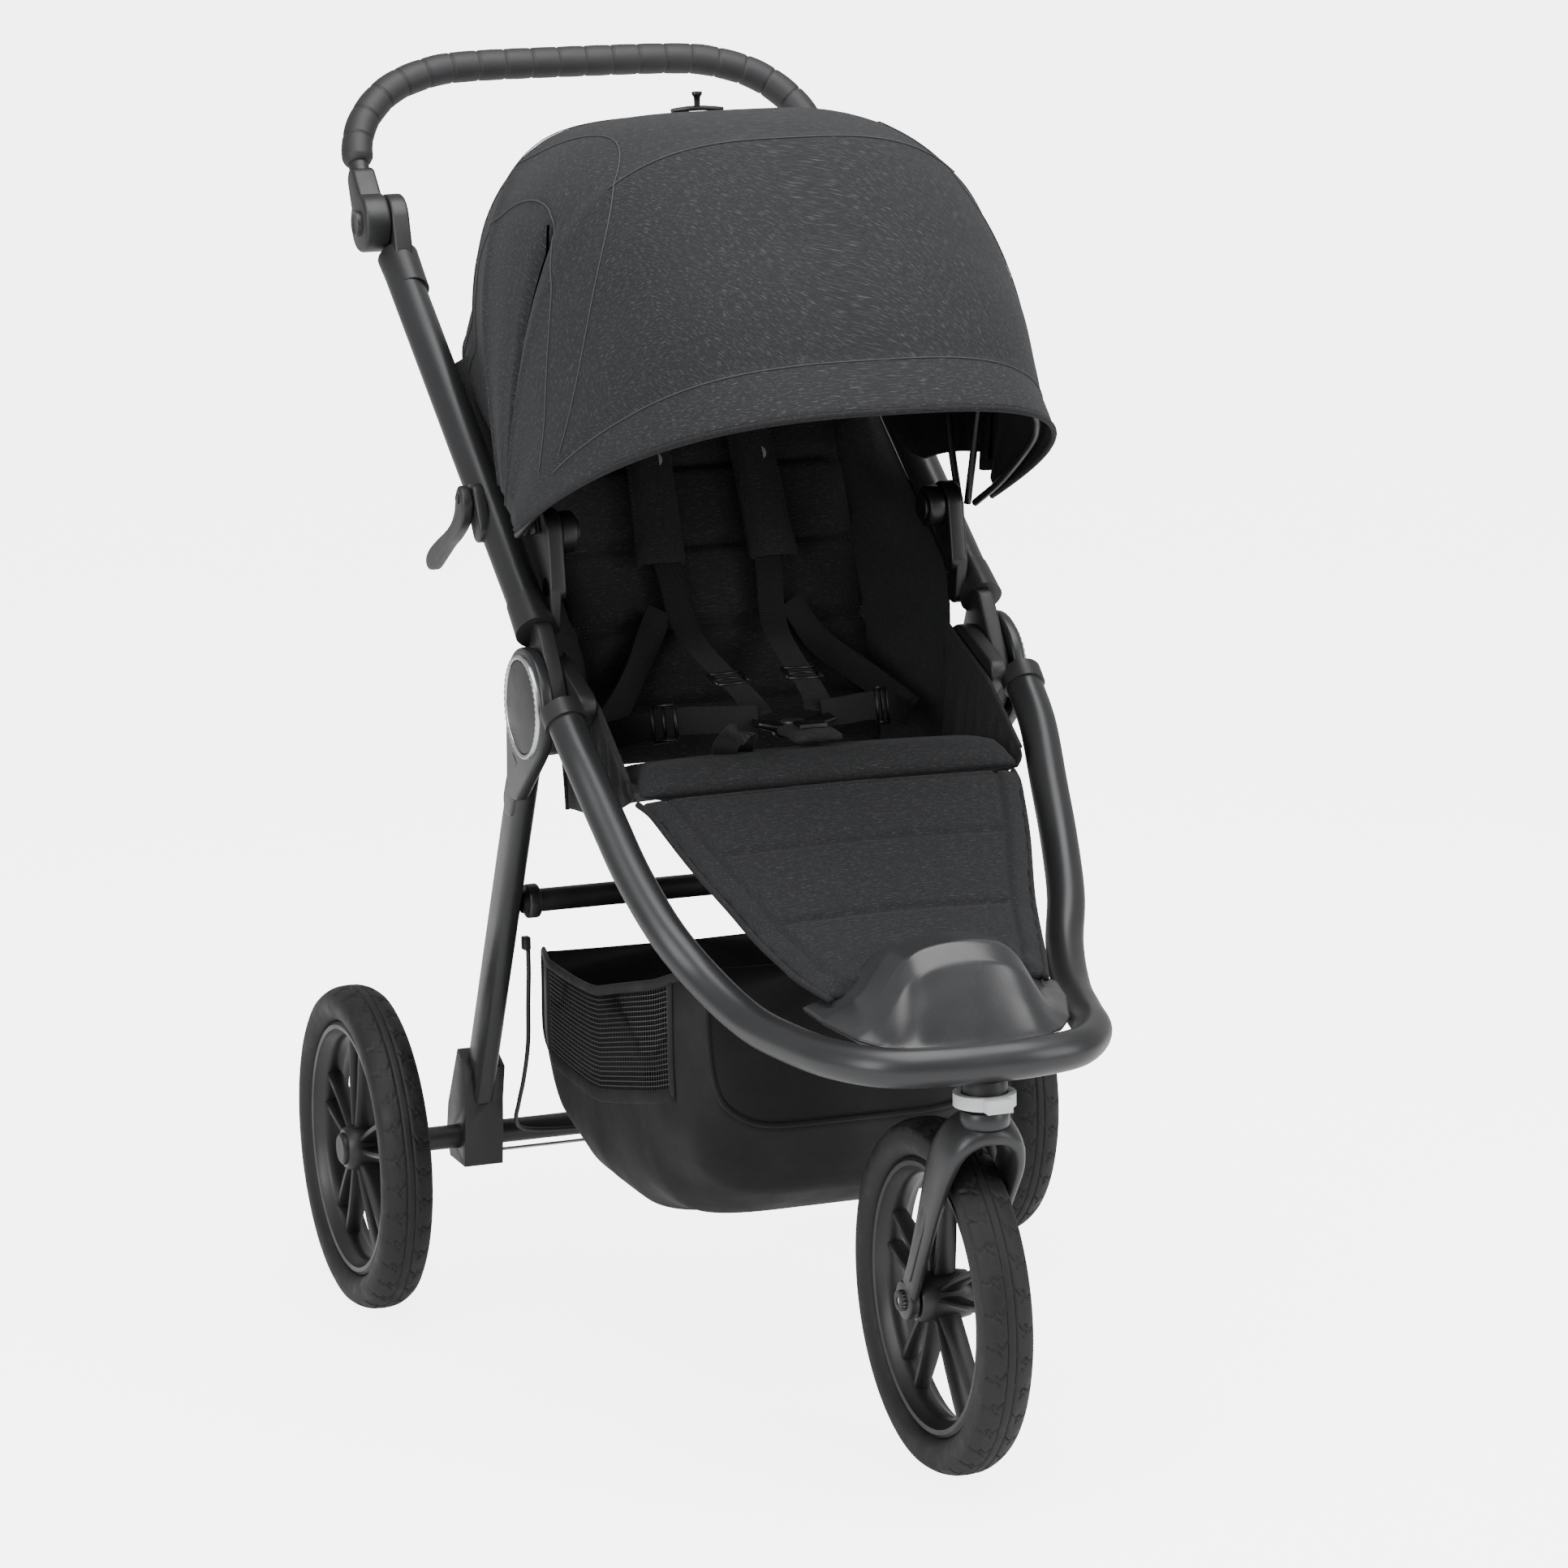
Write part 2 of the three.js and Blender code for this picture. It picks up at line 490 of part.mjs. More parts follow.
function seatTop(u, v) {
  const half = table([[0, 150], [1, 170]], v);
  const y = mix(-222, SEAT_CREASE[0] + 4, v);
  const z = table([[0, 520], [0.35, 543], [0.7, 558], [0.88, 562], [1, 541]], v);
  return v3(mix(half, -half, u), y, z + 4 * Math.sin(Math.PI * u));
}
add('seat_pad', sheet(seatTop, 6, 6, 22), CHARCOAL_CLOTH);

// Calf pad: from the crease down to the footrest, narrowing between the frame tubes.
function calfTop(u, v) {
  const half = table([[0, 168], [0.3, 148], [0.55, 118], [1, 94]], v);
  const z = table([[0, 531], [0.3, 496], [0.55, 451], [1, 434]], v);
  return v3(mix(half, -half, u), mix(SEAT_CREASE[0] - 14, -622, v), z + 3 * Math.sin(Math.PI * u));
}
add('calf_pad', sheet(calfTop, 6, 8, 13), CHARCOAL_CLOTH);

for (const [label, side] of SIDES) {
  const lowerEdge = (v) => [mix(-226, -404, v), table([[0, 500], [0.5, 508], [1, 540]], v)];
  const upperEdge = (v) => [mix(-236, -400, v), table([[0, 640], [0.55, 606], [1, 556]], v)];
  const panel = (u, v) => {
    const [y0, z0] = lowerEdge(v);
    const [y1, z1] = upperEdge(v);
    return v3(side * mix(175, 180, u), mix(y0, y1, u), mix(z0, z1, u));
  };
  add(`seat_side_${label}`, sheet(panel, 4, 6, 2.5), CHARCOAL_CLOTH);
  const wing = (u, v) => {
    const [y0, z0] = lean(mix(60, 440, v), -8);
    const [y1, z1] = along(mix(24, 300, v), -2);
    return v3(side * mix(162, 176, u), mix(y0, y1, u), mix(z0, z1, u));
  };
  add(`seat_wing_${label}`, sheet(wing, 4, 8, 2.5), CHARCOAL_CLOTH);
}

// ---------------------------------------------------------------- harness
const PAD_X = 50;
for (const [label, side] of SIDES) {
  const pad = (u, v) => onBack(side * PAD_X + mix(24, -24, u), mix(205, 400, v), -12 - 10 * Math.sin(Math.PI * u));
  add(`shoulder_pad_${label}`, sheet(pad, 4, 6, 4), CHARCOAL_CLOTH);
  const strap = (u, v) => {
    const [y0, z0] = [-306, 583];
    const [y1, z1] = lean(196, -16);
    const x = side * mix(29, PAD_X, v) + mix(9, -9, u);
    return v3(x, mix(y0, y1, v) + 8 * Math.sin(Math.PI * v), mix(z0, z1, v));
  };
  const waist = (u, v) => {
    const y = mix(-306, -230, v);
    const z = mix(574, 572, v) - 3 * Math.sin(Math.PI * v);
    return v3(side * mix(36, 150, v), y, z + mix(-9, 9, u));
  };
  const anchor = block(side * 31, -306, 577, 18, 18, 14);
  add(`harness_strap_${label}`, join(sheet(strap, 2, 8, 1.6), sheet(waist, 2, 8, 1.6), anchor), WEBBING);
}
add('harness_buckle', cut(
  rodZ(0, -318, 563, 579, 19, 28), rodZ(0, -318, 575, 587, 11.4, 20)), PLASTIC);
add('buckle_button', rodZ(0, -318, 577.4, 582, 11, 20), GREY_PLASTIC);
const crotch = (u, v) => v3(mix(22, -22, u), mix(-338, -378, v), table([[0, 577], [0.6, 574.5], [1, 574]], v));
add('crotch_strap', sheet(crotch, 4, 4, 5), CHARCOAL_CLOTH);

// ---------------------------------------------------------------- basket
// An open shell that sags between the rear legs and the front frame.
const BASKET_ROWS = [[0, -66], [0.5, -270], [1, -470]];
function basketPoint(u, v, inset) {
  const y = table(BASKET_ROWS, v) + (v < 0.5 ? -inset : inset);
  const half = table([[0, 158], [0.45, 170], [1, 140]], v) - inset;
  const top = table([[0, 330], [0.5, 352], [1, 400]], v);
  const bottom = table([[0, 168], [0.3, 140], [0.65, 146], [1, 200]], v) + inset;
  const t = Math.PI * u;
  const power = 0.4;
  const x = half * Math.sign(Math.cos(t)) * Math.abs(Math.cos(t)) ** power;
  return v3(x, y, top - (top - bottom) * Math.abs(Math.sin(t)) ** power);
}
function hull(inset, lift) {
  const across = 16;
  const rows = 6;
  const points = [];
  for (let j = 0; j <= rows; j++) {
    for (let i = 0; i <= across; i++) points.push(basketPoint(i / across, j / rows, inset));
  }
  for (const p of points) if (lift && p.z > 320) p.z += lift * ((p.z - 320) / 30);
  const triangles = [];
  const at = (i, j) => j * (across + 1) + i;
  for (let j = 0; j < rows; j++) {
    for (let i = 0; i < across; i++) {
      triangles.push([at(i, j), at(i + 1, j), at(i + 1, j + 1)], [at(i, j), at(i + 1, j + 1), at(i, j + 1)]);
    }
    triangles.push([at(0, j), at(0, j + 1), at(across, j + 1)], [at(0, j), at(across, j + 1), at(across, j)]);
  }
  for (let i = 1; i < across; i++) {
    triangles.push([at(0, 0), at(i + 1, 0), at(i, 0)], [at(0, rows), at(i, rows), at(i + 1, rows)]);
  }
  return closedBody(points, triangles);
}
add('basket', cut(hull(0, 0), hull(4, 24)), BLACK_CLOTH);

export default part;
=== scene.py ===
"""Looks for a three-wheeled folding baby stroller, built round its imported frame.

Metres, +Z up. The child faces -Y and +X is the left of the person pushing. Local lengths along Y
are counted from the rear axle, and at() moves them into the frame.
"""
import math

import bmesh
import bpy
from mathutils import Matrix, Vector, noise


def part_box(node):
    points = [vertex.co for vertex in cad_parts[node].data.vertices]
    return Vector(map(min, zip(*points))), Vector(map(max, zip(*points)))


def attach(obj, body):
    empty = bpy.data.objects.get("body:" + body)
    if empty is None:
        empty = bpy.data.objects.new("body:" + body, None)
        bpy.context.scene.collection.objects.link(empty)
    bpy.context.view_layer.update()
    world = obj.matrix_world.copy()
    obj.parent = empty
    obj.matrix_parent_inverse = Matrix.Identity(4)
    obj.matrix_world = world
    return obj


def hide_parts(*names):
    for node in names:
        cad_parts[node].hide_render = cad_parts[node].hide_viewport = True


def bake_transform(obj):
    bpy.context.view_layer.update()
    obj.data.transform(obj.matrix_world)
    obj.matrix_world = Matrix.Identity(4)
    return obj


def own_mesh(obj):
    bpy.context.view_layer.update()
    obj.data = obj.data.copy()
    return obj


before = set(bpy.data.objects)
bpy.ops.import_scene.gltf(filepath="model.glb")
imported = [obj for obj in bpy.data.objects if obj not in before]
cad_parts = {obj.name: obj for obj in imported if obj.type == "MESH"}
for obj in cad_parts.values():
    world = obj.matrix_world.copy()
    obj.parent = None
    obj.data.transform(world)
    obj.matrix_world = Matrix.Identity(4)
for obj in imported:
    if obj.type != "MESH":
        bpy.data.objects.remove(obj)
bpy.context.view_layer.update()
scene = bpy.context.scene

axle_low, axle_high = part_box("rear_axle")
AXLE_Y = (axle_low.y + axle_high.y) / 2
SIDES = (("left", 1), ("right", -1))


def at(x, y, z):
    return Vector((x, y + AXLE_Y, z))


def mix(a, b, t):
    return a + (b - a) * t


def table(rows, key):
    """Straight-line reading of a short table of (key, value)."""
    if key <= rows[0][0]:
        return rows[0][1]
    for (k0, a), (k1, b) in zip(rows, rows[1:]):
        if key <= k1:
            return mix(a, b, (key - k0) / (k1 - k0))
    return rows[-1][1]


def hump(distance, width):
    """1 on a line, fading to 0 about two widths from it."""
    return math.exp(-((distance / width) ** 2))


def smoothstep(t):
    t = min(max(t, 0.0), 1.0)
    return t * t * (3 - 2 * t)


# ------------------------------------------------------------------ finishes
class Finish:
    """One procedural material, with the few nodes that every finish here is made from."""

    def __init__(self, name, color, roughness, metallic=0.0, **sockets):
        self.material = bpy.data.materials.new(name)
        self.material.use_nodes = True
        self.nodes = self.material.node_tree.nodes
        self.links = self.material.node_tree.links
        self.shader = self.nodes["Principled BSDF"]
        self.set(Base_Color=(*color, 1.0), Roughness=roughness, Metallic=metallic, **sockets)
        self.height = None

    def set(self, **sockets):
        for name, value in sockets.items():
            self.shader.inputs[name.replace("_", " ")].default_value = value

    def space(self, kind="Object", scale=(1, 1, 1), turn=(0, 0, 0)):
        source = self.nodes.new("ShaderNodeTexCoord")
        mapping = self.nodes.new("ShaderNodeMapping")
        mapping.inputs["Scale"].default_value = scale
        mapping.inputs["Rotation"].default_value = turn
        self.links.new(source.outputs[kind], mapping.inputs["Vector"])
        return mapping.outputs["Vector"]

    def grain(self, where, scale=1.0, detail=2.0, rough=0.5):
        texture = self.nodes.new("ShaderNodeTexNoise")
        texture.inputs["Scale"].default_value = scale
        texture.inputs["Detail"].default_value = detail
        texture.inputs["Roughness"].default_value = rough
        self.links.new(where, texture.inputs["Vector"])
        return texture.outputs["Fac"]

    def ribs(self, where, scale, direction="X"):
        texture = self.nodes.new("ShaderNodeTexWave")
        texture.bands_direction = direction
        texture.inputs["Scale"].default_value = scale
        self.links.new(where, texture.inputs["Vector"])
        return texture.outputs["Fac"]

    def levels(self, value, low, high, out_low=0.0, out_high=1.0):
        node = self.nodes.new("ShaderNodeMapRange")
        for name, number in (("From Min", low), ("From Max", high), ("To Min", out_low), ("To Max", out_high)):
            node.inputs[name].default_value = number
        self.links.new(value, node.inputs["Value"])
        return node.outputs["Result"]

    def blend_colors(self, value, first, second):
        node = self.nodes.new("ShaderNodeMix")
        node.data_type = "RGBA"
        for name, color in (("A", first), ("B", second)):
            socket = [s for s in node.inputs if s.name == name and s.type == "RGBA"][0]
            if isinstance(color, tuple):
                socket.default_value = (*color, 1.0)
            else:
                self.links.new(color, socket)
        self.links.new(value, node.inputs["Factor"])
        return [s for s in node.outputs if s.type == "RGBA"][0]

    def color(self, output):
        self.links.new(output, self.shader.inputs["Base Color"])

    def roughness(self, output):
        self.links.new(output, self.shader.inputs["Roughness"])

    def bump(self, height, strength, distance):
        node = self.nodes.new("ShaderNodeBump")
        node.inputs["Strength"].default_value = strength
        node.inputs["Distance"].default_value = distance
        self.links.new(height, node.inputs["Height"])
        if self.height is not None:
            self.links.new(self.height, node.inputs["Normal"])
        self.height = node.outputs["Normal"]
        self.links.new(self.height, self.shader.inputs["Normal"])


def moulded(name, color, roughness, texture_depth=0.00012):
    """Fine-grained moulded plastic or powder coat, a little uneven in its gloss."""
    finish = Finish(name, color, roughness)
    where = finish.space()
    patches = finish.grain(where, 22, 3)
    finish.roughness(finish.levels(patches, 0.3, 0.7, roughness - 0.06, roughness + 0.08))
    finish.color(finish.blend_colors(patches, tuple(0.86 * c for c in color), tuple(1.14 * c for c in color)))
    finish.bump(finish.grain(where, 1400, 2), 0.25, texture_depth)
    return finish.material


def heathered(name, space, dark, light, slub_scale=(110, 1100, 1100)):
    """Melange weave: fine pale slubs that run along the first axis of the space."""
    finish = Finish(name, dark, 0.88, Sheen_Weight=0.05, Sheen_Roughness=0.5, Specular_IOR_Level=0.15)
    finish.set(Sheen_Tint=(0.75, 0.77, 0.8, 1))
    slubs = finish.grain(finish.space(space, slub_scale), 1.0, 2.0, 0.6)
    yarn = finish.grain(finish.space(space, tuple(3.1 * s for s in slub_scale)), 1.0, 1.0)
    cross = finish.grain(finish.space(space, (900, 90, 90)), 1.0, 1.0)
    body = finish.blend_colors(finish.levels(yarn, 0.35, 0.65), tuple(0.7 * c for c in dark),
                               tuple(1.35 * c for c in dark))
    body = finish.blend_colors(finish.levels(cross, 0.3, 0.8, 0.0, 0.3), body, tuple(0.5 * c for c in dark))
    finish.color(finish.blend_colors(finish.levels(slubs, 0.56, 0.74), body, light))
    finish.bump(slubs, 0.35, 0.0006)
    finish.bump(yarn, 0.3, 0.0004)
    return finish.material


def ribbed_webbing(name, color):
    finish = Finish(name, color, 0.7, Sheen_Weight=0.04, Sheen_Roughness=0.4, Specular_IOR_Level=0.25)
    ribs = finish.ribs(finish.space("UV"), 190, "Y")
    finish.color(finish.blend_colors(ribs, tuple(0.6 * c for c in color), tuple(1.7 * c for c in color)))
    finish.bump(ribs, 0.6, 0.0006)
    return finish.material


FRAME_GREY = (0.026, 0.0265, 0.028)
powder = Finish("powder_coat", FRAME_GREY, 0.36, 0.35, Coat_Weight=0.1, Coat_Roughness=0.3)
powder_space = powder.space()
powder_patches = powder.grain(powder_space, 14, 3)
powder.roughness(powder.levels(powder_patches, 0.3, 0.7, 0.31, 0.42))
powder.bump(powder.grain(powder_space, 1900, 2), 0.22, 0.0001)
POWDER_COAT = powder.material
JOINT_PLASTIC = moulded("joint_plastic", (0.014, 0.0142, 0.015), 0.42)
DARK_PLASTIC = moulded("dark_plastic", (0.006, 0.006, 0.0065), 0.4)
RIM_PLASTIC = moulded("rim_plastic", (0.009, 0.009, 0.0095), 0.38)
SHELL = moulded("footrest_shell", (0.026, 0.0265, 0.028), 0.27, 0.00004)
PALE_PLASTIC = moulded("pale_plastic", (0.52, 0.53, 0.54), 0.42)
BUTTON_PLASTIC = moulded("button_plastic", (0.03, 0.03, 0.032), 0.35)
PLATED = Finish("plated_steel", (0.55, 0.56, 0.57), 0.28, 1.0)
metal_space = PLATED.space("Object", (40, 900, 900))
PLATED.bump(PLATED.grain(metal_space, 1, 2), 0.15, 0.0001)
STEEL = PLATED.material

rubber = Finish("tyre_rubber", (0.009, 0.009, 0.0095), 0.62, Specular_IOR_Level=0.35)
rubber_space = rubber.space()
rubber_dust = rubber.grain(rubber_space, 60, 4)
rubber.color(rubber.blend_colors(rubber.levels(rubber_dust, 0.45, 0.8), (0.008, 0.008, 0.0083), (0.018, 0.018, 0.0187)))
rubber.roughness(rubber.levels(rubber_dust, 0.3, 0.7, 0.5, 0.72))
rubber.bump(rubber.grain(rubber_space, 900, 3), 0.3, 0.0002)
RUBBER = rubber.material

grip = Finish("grip_foam", (0.014, 0.014, 0.015), 0.55)
grip_pores = grip.grain(grip.space(), 1100, 3)
grip.color(grip.blend_colors(grip_pores, (0.01, 0.01, 0.011), (0.024, 0.024, 0.026)))
grip.bump(grip_pores, 0.5, 0.0004)
GRIP_FOAM = grip.material

CANOPY_CLOTH = heathered("canopy_cloth", "UV", (0.021, 0.0213, 0.0225), (0.08, 0.081, 0.084))
SEAT_CLOTH = heathered("seat_cloth", "Object", (0.019, 0.0193, 0.0203), (0.056, 0.057, 0.06), (160, 1700, 1700))
LINING = heathered("lining_cloth", "UV", (0.007, 0.007, 0.0075), (0.016, 0.016, 0.017))
TRIM_CLOTH = heathered("trim_cloth", "Object", (0.014, 0.014, 0.015), (0.04, 0.04, 0.042))
WEBBING = ribbed_webbing("webbing", (0.009, 0.009, 0.0095))

coated = Finish("basket_cloth", (0.004, 0.004, 0.0043), 0.62, Sheen_Weight=0.02, Specular_IOR_Level=0.25)
coated_space = coated.space()
coated_folds = coated.grain(coated_space, 18, 3)
coated.roughness(coated.levels(coated_folds, 0.3, 0.7, 0.52, 0.74))
coated.bump(coated_folds, 0.25, 0.004)
coated.bump(coated.grain(coated.space("Object", (1300, 1300, 1300)), 1, 1), 0.25, 0.0003)
BASKET_CLOTH = coated.material
NET = Finish("net_yarn", (0.045, 0.045, 0.047), 0.75)
NET.bump(NET.grain(NET.space(), 1500, 1), 0.3, 0.0002)
NET_YARN = NET.material
thread = Finish("stitch_thread", (0.045, 0.046, 0.048), 0.8)
# Flat black with no specular: painted shade for the inside of the canopy's tucked side slits.
SLIT_SHADE = Finish("slit_painted_shade", (0.001, 0.001, 0.001), 0.95, Specular_IOR_Level=0.0).material
thread.bump(thread.grain(thread.space(), 2200, 1), 0.4, 0.0002)
THREAD = thread.material
tab = Finish("woven_tab", (0.2, 0.205, 0.21), 0.8)
tab.bump(tab.grain(tab.space(), 1600, 2), 0.4, 0.0003)
WOVEN_TAB = tab.material


# ------------------------------------------------------------------ making pieces
def make_object(name, bm, materials, sharp=32):
    mesh = bpy.data.meshes.new(name)
    bm.to_mesh(mesh)
    bm.free()
    for material in materials if isinstance(materials, (list, tuple)) else [materials]:
        mesh.materials.append(material)
    mesh.shade_smooth()
    if sharp:
        mesh.set_sharp_from_angle(angle=math.radians(sharp))
    piece = bpy.data.objects.new(name, mesh)
    scene.collection.objects.link(piece)
    return piece


def fit(piece, body, slot, *nodes):
    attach(piece, body)
    if nodes:
        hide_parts(*nodes)
    return piece


def close_shell(bm):
    bmesh.ops.remove_doubles(bm, verts=bm.verts, dist=1e-6)
    bmesh.ops.recalc_face_normals(bm, faces=bm.faces)


def smooth_path(points, steps):
    """A Catmull-Rom curve through the points, sampled evenly along its length."""
    points = [Vector(p) for p in points]
    padded = [2 * points[0] - points[1], *points, 2 * points[-1] - points[-2]]
    dense = []
    for a, b, c, d in zip(padded, padded[1:], padded[2:], padded[3:]):
        for k in range(24):
            t = k / 24
            dense.append(0.5 * (2 * b + (c - a) * t + (2 * a - 5 * b + 4 * c - d) * t * t
                                + (3 * b - a - 3 * c + d) * t ** 3))
    dense.append(points[-1])
    lengths = [0.0]
    for p, q in zip(dense, dense[1:]):
        lengths.append(lengths[-1] + (q - p).length)
    result, k = [], 0
    for i in range(steps + 1):
        goal = lengths[-1] * i / steps
        while k < len(lengths) - 2 and lengths[k + 1] < goal:
            k += 1
        span = lengths[k + 1] - lengths[k]
        result.append(dense[k].lerp(dense[k + 1], (goal - lengths[k]) / span if span else 0))
    return result


def sweep(path, radius, sides=12, across=None, flat=1.0, power=1.0):
    """A tube along the path. radius is a number or a function of the share of the length.
    across is the direction of the section's first axis, flat scales its second axis, and a power
    under 1 squares the section off."""
    bm = bmesh.new()
    uv = bm.loops.layers.uv.new("UVMap")
    ring = bmesh.ops.create_circle(bm, segments=sides, radius=1.0)["verts"]
    shape = []
    for v in ring:
        c, s = v.co.x, v.co.y
        shape.append((math.copysign(abs(c) ** power, c), math.copysign(abs(s) ** power, s) * flat))
    where = {}
    side = None
    count = len(path)
    length = 0.0
    first = ring
    for i, point in enumerate(path):
        tangent = (path[min(i + 1, count - 1)] - path[max(i - 1, 0)]).normalized()
        if side is None:
            side = Vector(across) if across else tangent.orthogonal()
        elif across:
            side = Vector(across)
        side = (side - tangent * side.dot(tangent)).normalized()
        other = tangent.cross(side)
        r = radius(i / (count - 1)) if callable(radius) else radius
        if i:
            length += (point - path[i - 1]).length
            edges = [e for e in {e for v in ring for e in v.link_edges} if e.verts[0] in ring and e.verts[1] in ring]
            order = {v: n for n, v in enumerate(ring)}
            made = bmesh.ops.extrude_edge_only(bm, edges=edges)["geom"]
            fresh = [g for g in made if isinstance(g, bmesh.types.BMVert)]
            pairs = {}
            for v in fresh:
                for e in v.link_edges:
                    mate = e.other_vert(v)
                    if mate in order:
                        pairs[order[mate]] = v
            ring = [pairs[n] for n in range(sides)]
        rx, ry = r if isinstance(r, tuple) else (r, r)
        for n, v in enumerate(ring):
            v.co = point + side * shape[n][0] * rx + other * shape[n][1] * ry
            where[v] = (n, length)
        if not i:
            first = ring
    middle = radius(0.5) if callable(radius) else radius
    perimeter = 2 * math.pi * (middle[0] if isinstance(middle, tuple) else middle)
    for face in bm.faces:
        numbers = [where[l.vert][0] for l in face.loops]
        for loop, n in zip(face.loops, numbers):
            n = sides if n == 0 and max(numbers) == sides - 1 else n
            loop[uv].uv = (n / sides * perimeter, where[loop.vert][1])
    bm.faces.new(first)
    bm.faces.new(ring)
    bmesh.ops.recalc_face_normals(bm, faces=bm.faces)
    return bm


def lathe(profile, y, z, steps=64, x_shift=0.0):
    """A ring or disc turned round the X axis from (radius, x) points, with its ends merged."""
    bm = bmesh.new()
    verts = [bm.verts.new((x + x_shift, 0, -r)) for r, x in profile]
    edges = [bm.edges.new(pair) for pair in zip(verts, verts[1:])]
    bmesh.ops.spin(bm, geom=verts + edges, cent=(0, 0, 0), axis=(1, 0, 0), dvec=(0, 0, 0),
                   angle=2 * math.pi, steps=steps, use_merge=True)
    close_shell(bm)
    bmesh.ops.translate(bm, verts=bm.verts, vec=at(0, y, z))
    return bm


def on_side(bm, side, x=0.0):
    """A turned part moved out to x on the left (side 1), or its mirror image on the right (side -1)."""
    bmesh.ops.scale(bm, vec=(side, 1, 1), verts=bm.verts)
    bmesh.ops.translate(bm, verts=bm.verts, vec=(side * x, 0, 0))
    bmesh.ops.recalc_face_normals(bm, faces=bm.faces)
    return bm


def puck(low, high, depth, bevel, segments, steps, z):
    """A round button that stands upright, with soft rims, in the middle of the harness."""
    bm = bmesh.new()
    bmesh.ops.create_cone(bm, cap_ends=True, segments=steps, radius1=low, radius2=high, depth=depth)
    rims = [e for e in bm.edges if abs(e.verts[0].co.z - e.verts[1].co.z) < 1e-6]
    bmesh.ops.bevel(bm, geom=rims, offset=bevel, segments=segments, affect="EDGES", profile=0.5, material=-1)
    bmesh.ops.translate(bm, verts=bm.verts, vec=at(0, BUCKLE[0], z))
    return bm


def link_outline(y0, z0, r0, y1, z1, r1, steps=14):
    """Two circles joined by their outer tangents."""
    turn = math.atan2(z1 - z0, y1 - y0)
    lean = math.asin((r0 - r1) / math.hypot(y1 - y0, z1 - z0))
    half = math.pi / 2 - lean
    outline = []
    for y, z, r, start, end in ((y0, z0, r0, turn + half, turn + 2 * math.pi - half),
                                (y1, z1, r1, turn - half, turn + half)):
        for i in range(steps + 1):
            angle = mix(start, end, i / steps)
            outline.append((y + r * math.cos(angle), z + r * math.sin(angle)))
    return outline


def disc_outline(y, z, r, steps=48):
    return [(y + r * math.cos(2 * math.pi * i / steps), z + r * math.sin(2 * math.pi * i / steps))
            for i in range(steps)]


def slab(outline, x0, x1, bevel=0.0015, segments=3):
    """An outline in the side view, made solid from x0 to x1 with rounded rims."""
    bm = bmesh.new()
    face = bm.faces.new([bm.verts.new(at(x0, y, z)) for y, z in outline])
    made = bmesh.ops.extrude_face_region(bm, geom=[face])["geom"]
    bmesh.ops.translate(bm, verts=[g for g in made if isinstance(g, bmesh.types.BMVert)], vec=(x1 - x0, 0, 0))
    close_shell(bm)
    rims = [e for e in bm.edges if abs(e.verts[0].co.x - e.verts[1].co.x) < 1e-7]
    bmesh.ops.bevel(bm, geom=rims, offset=bevel, segments=segments, affect="EDGES", profile=0.5, material=-1,
                    clamp_overlap=True)
    return bm


def joined(*parts):
    """Several bmeshes as one mesh."""
    whole = bmesh.new()
    whole.loops.layers.uv.new("UVMap")
    for bm in parts:
        scratch = bpy.data.meshes.new("scratch")
        bm.to_mesh(scratch)
        bm.free()
        whole.from_mesh(scratch)
        bpy.data.meshes.remove(scratch)
    return whole


def sheet_grid(across, along, place, size, grain=0.0):
    """A grid laid by place(u, v), with its UV map in metres, turned by grain (a number or a function)."""
    bm = bmesh.new()
    uv = bm.loops.layers.uv.new("UVMap")
    bmesh.ops.create_grid(bm, x_segments=across, y_segments=along, size=0.5)
    for face in bm.faces:
        centre = face.calc_center_median()
        turn = grain(centre.x + 0.5, centre.y + 0.5) if callable(grain) else grain
        c, s = math.cos(turn), math.sin(turn)
        for loop in face.loops:
            x = (loop.vert.co.x + 0.5) * size[0]
            y = (loop.vert.co.y + 0.5) * size[1]
            loop[uv].uv = (x * c - y * s, x * s + y * c)
    for v in bm.verts:
        v.co = place(v.co.x + 0.5, v.co.y + 0.5)
    return bm


def thicken(piece, thickness, offset=0.0, inner=0):
    """Gives a sheet its thickness; inner is the material slot of its far face."""
    solid = piece.modifiers.new("Thickness", "SOLIDIFY")
    solid.thickness = thickness
    solid.offset = offset
    solid.material_offset = inner
    solid.use_even_offset = False


def refined(node, body, slot, material, bevel=0.0012, sharp=33):
    """A CAD node's own shape with its doubles merged and its hard edges rounded."""
    bm = bmesh.new()
    bm.from_mesh(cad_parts[node].data)
    bmesh.ops.remove_doubles(bm, verts=bm.verts, dist=1e-5)
    bmesh.ops.dissolve_limit(bm, angle_limit=math.radians(1), verts=bm.verts, edges=bm.edges)
    hard = [e for e in bm.edges if len(e.link_faces) == 2 and e.calc_face_angle(0) > math.radians(40)]
    bmesh.ops.bevel(bm, geom=hard, offset=bevel, segments=2, affect="EDGES", profile=0.5, material=-1,
                    clamp_overlap=True)
    return fit(make_object(f"{node}_shape", bm, material, sharp), body, slot, node)


def merged_copy(piece):
    """The piece's mesh with its modifiers applied, as a new mesh."""
    bpy.context.view_layer.update()
    graph = bpy.context.evaluated_depsgraph_get()
    return bpy.data.meshes.new_from_object(piece.evaluated_get(graph))


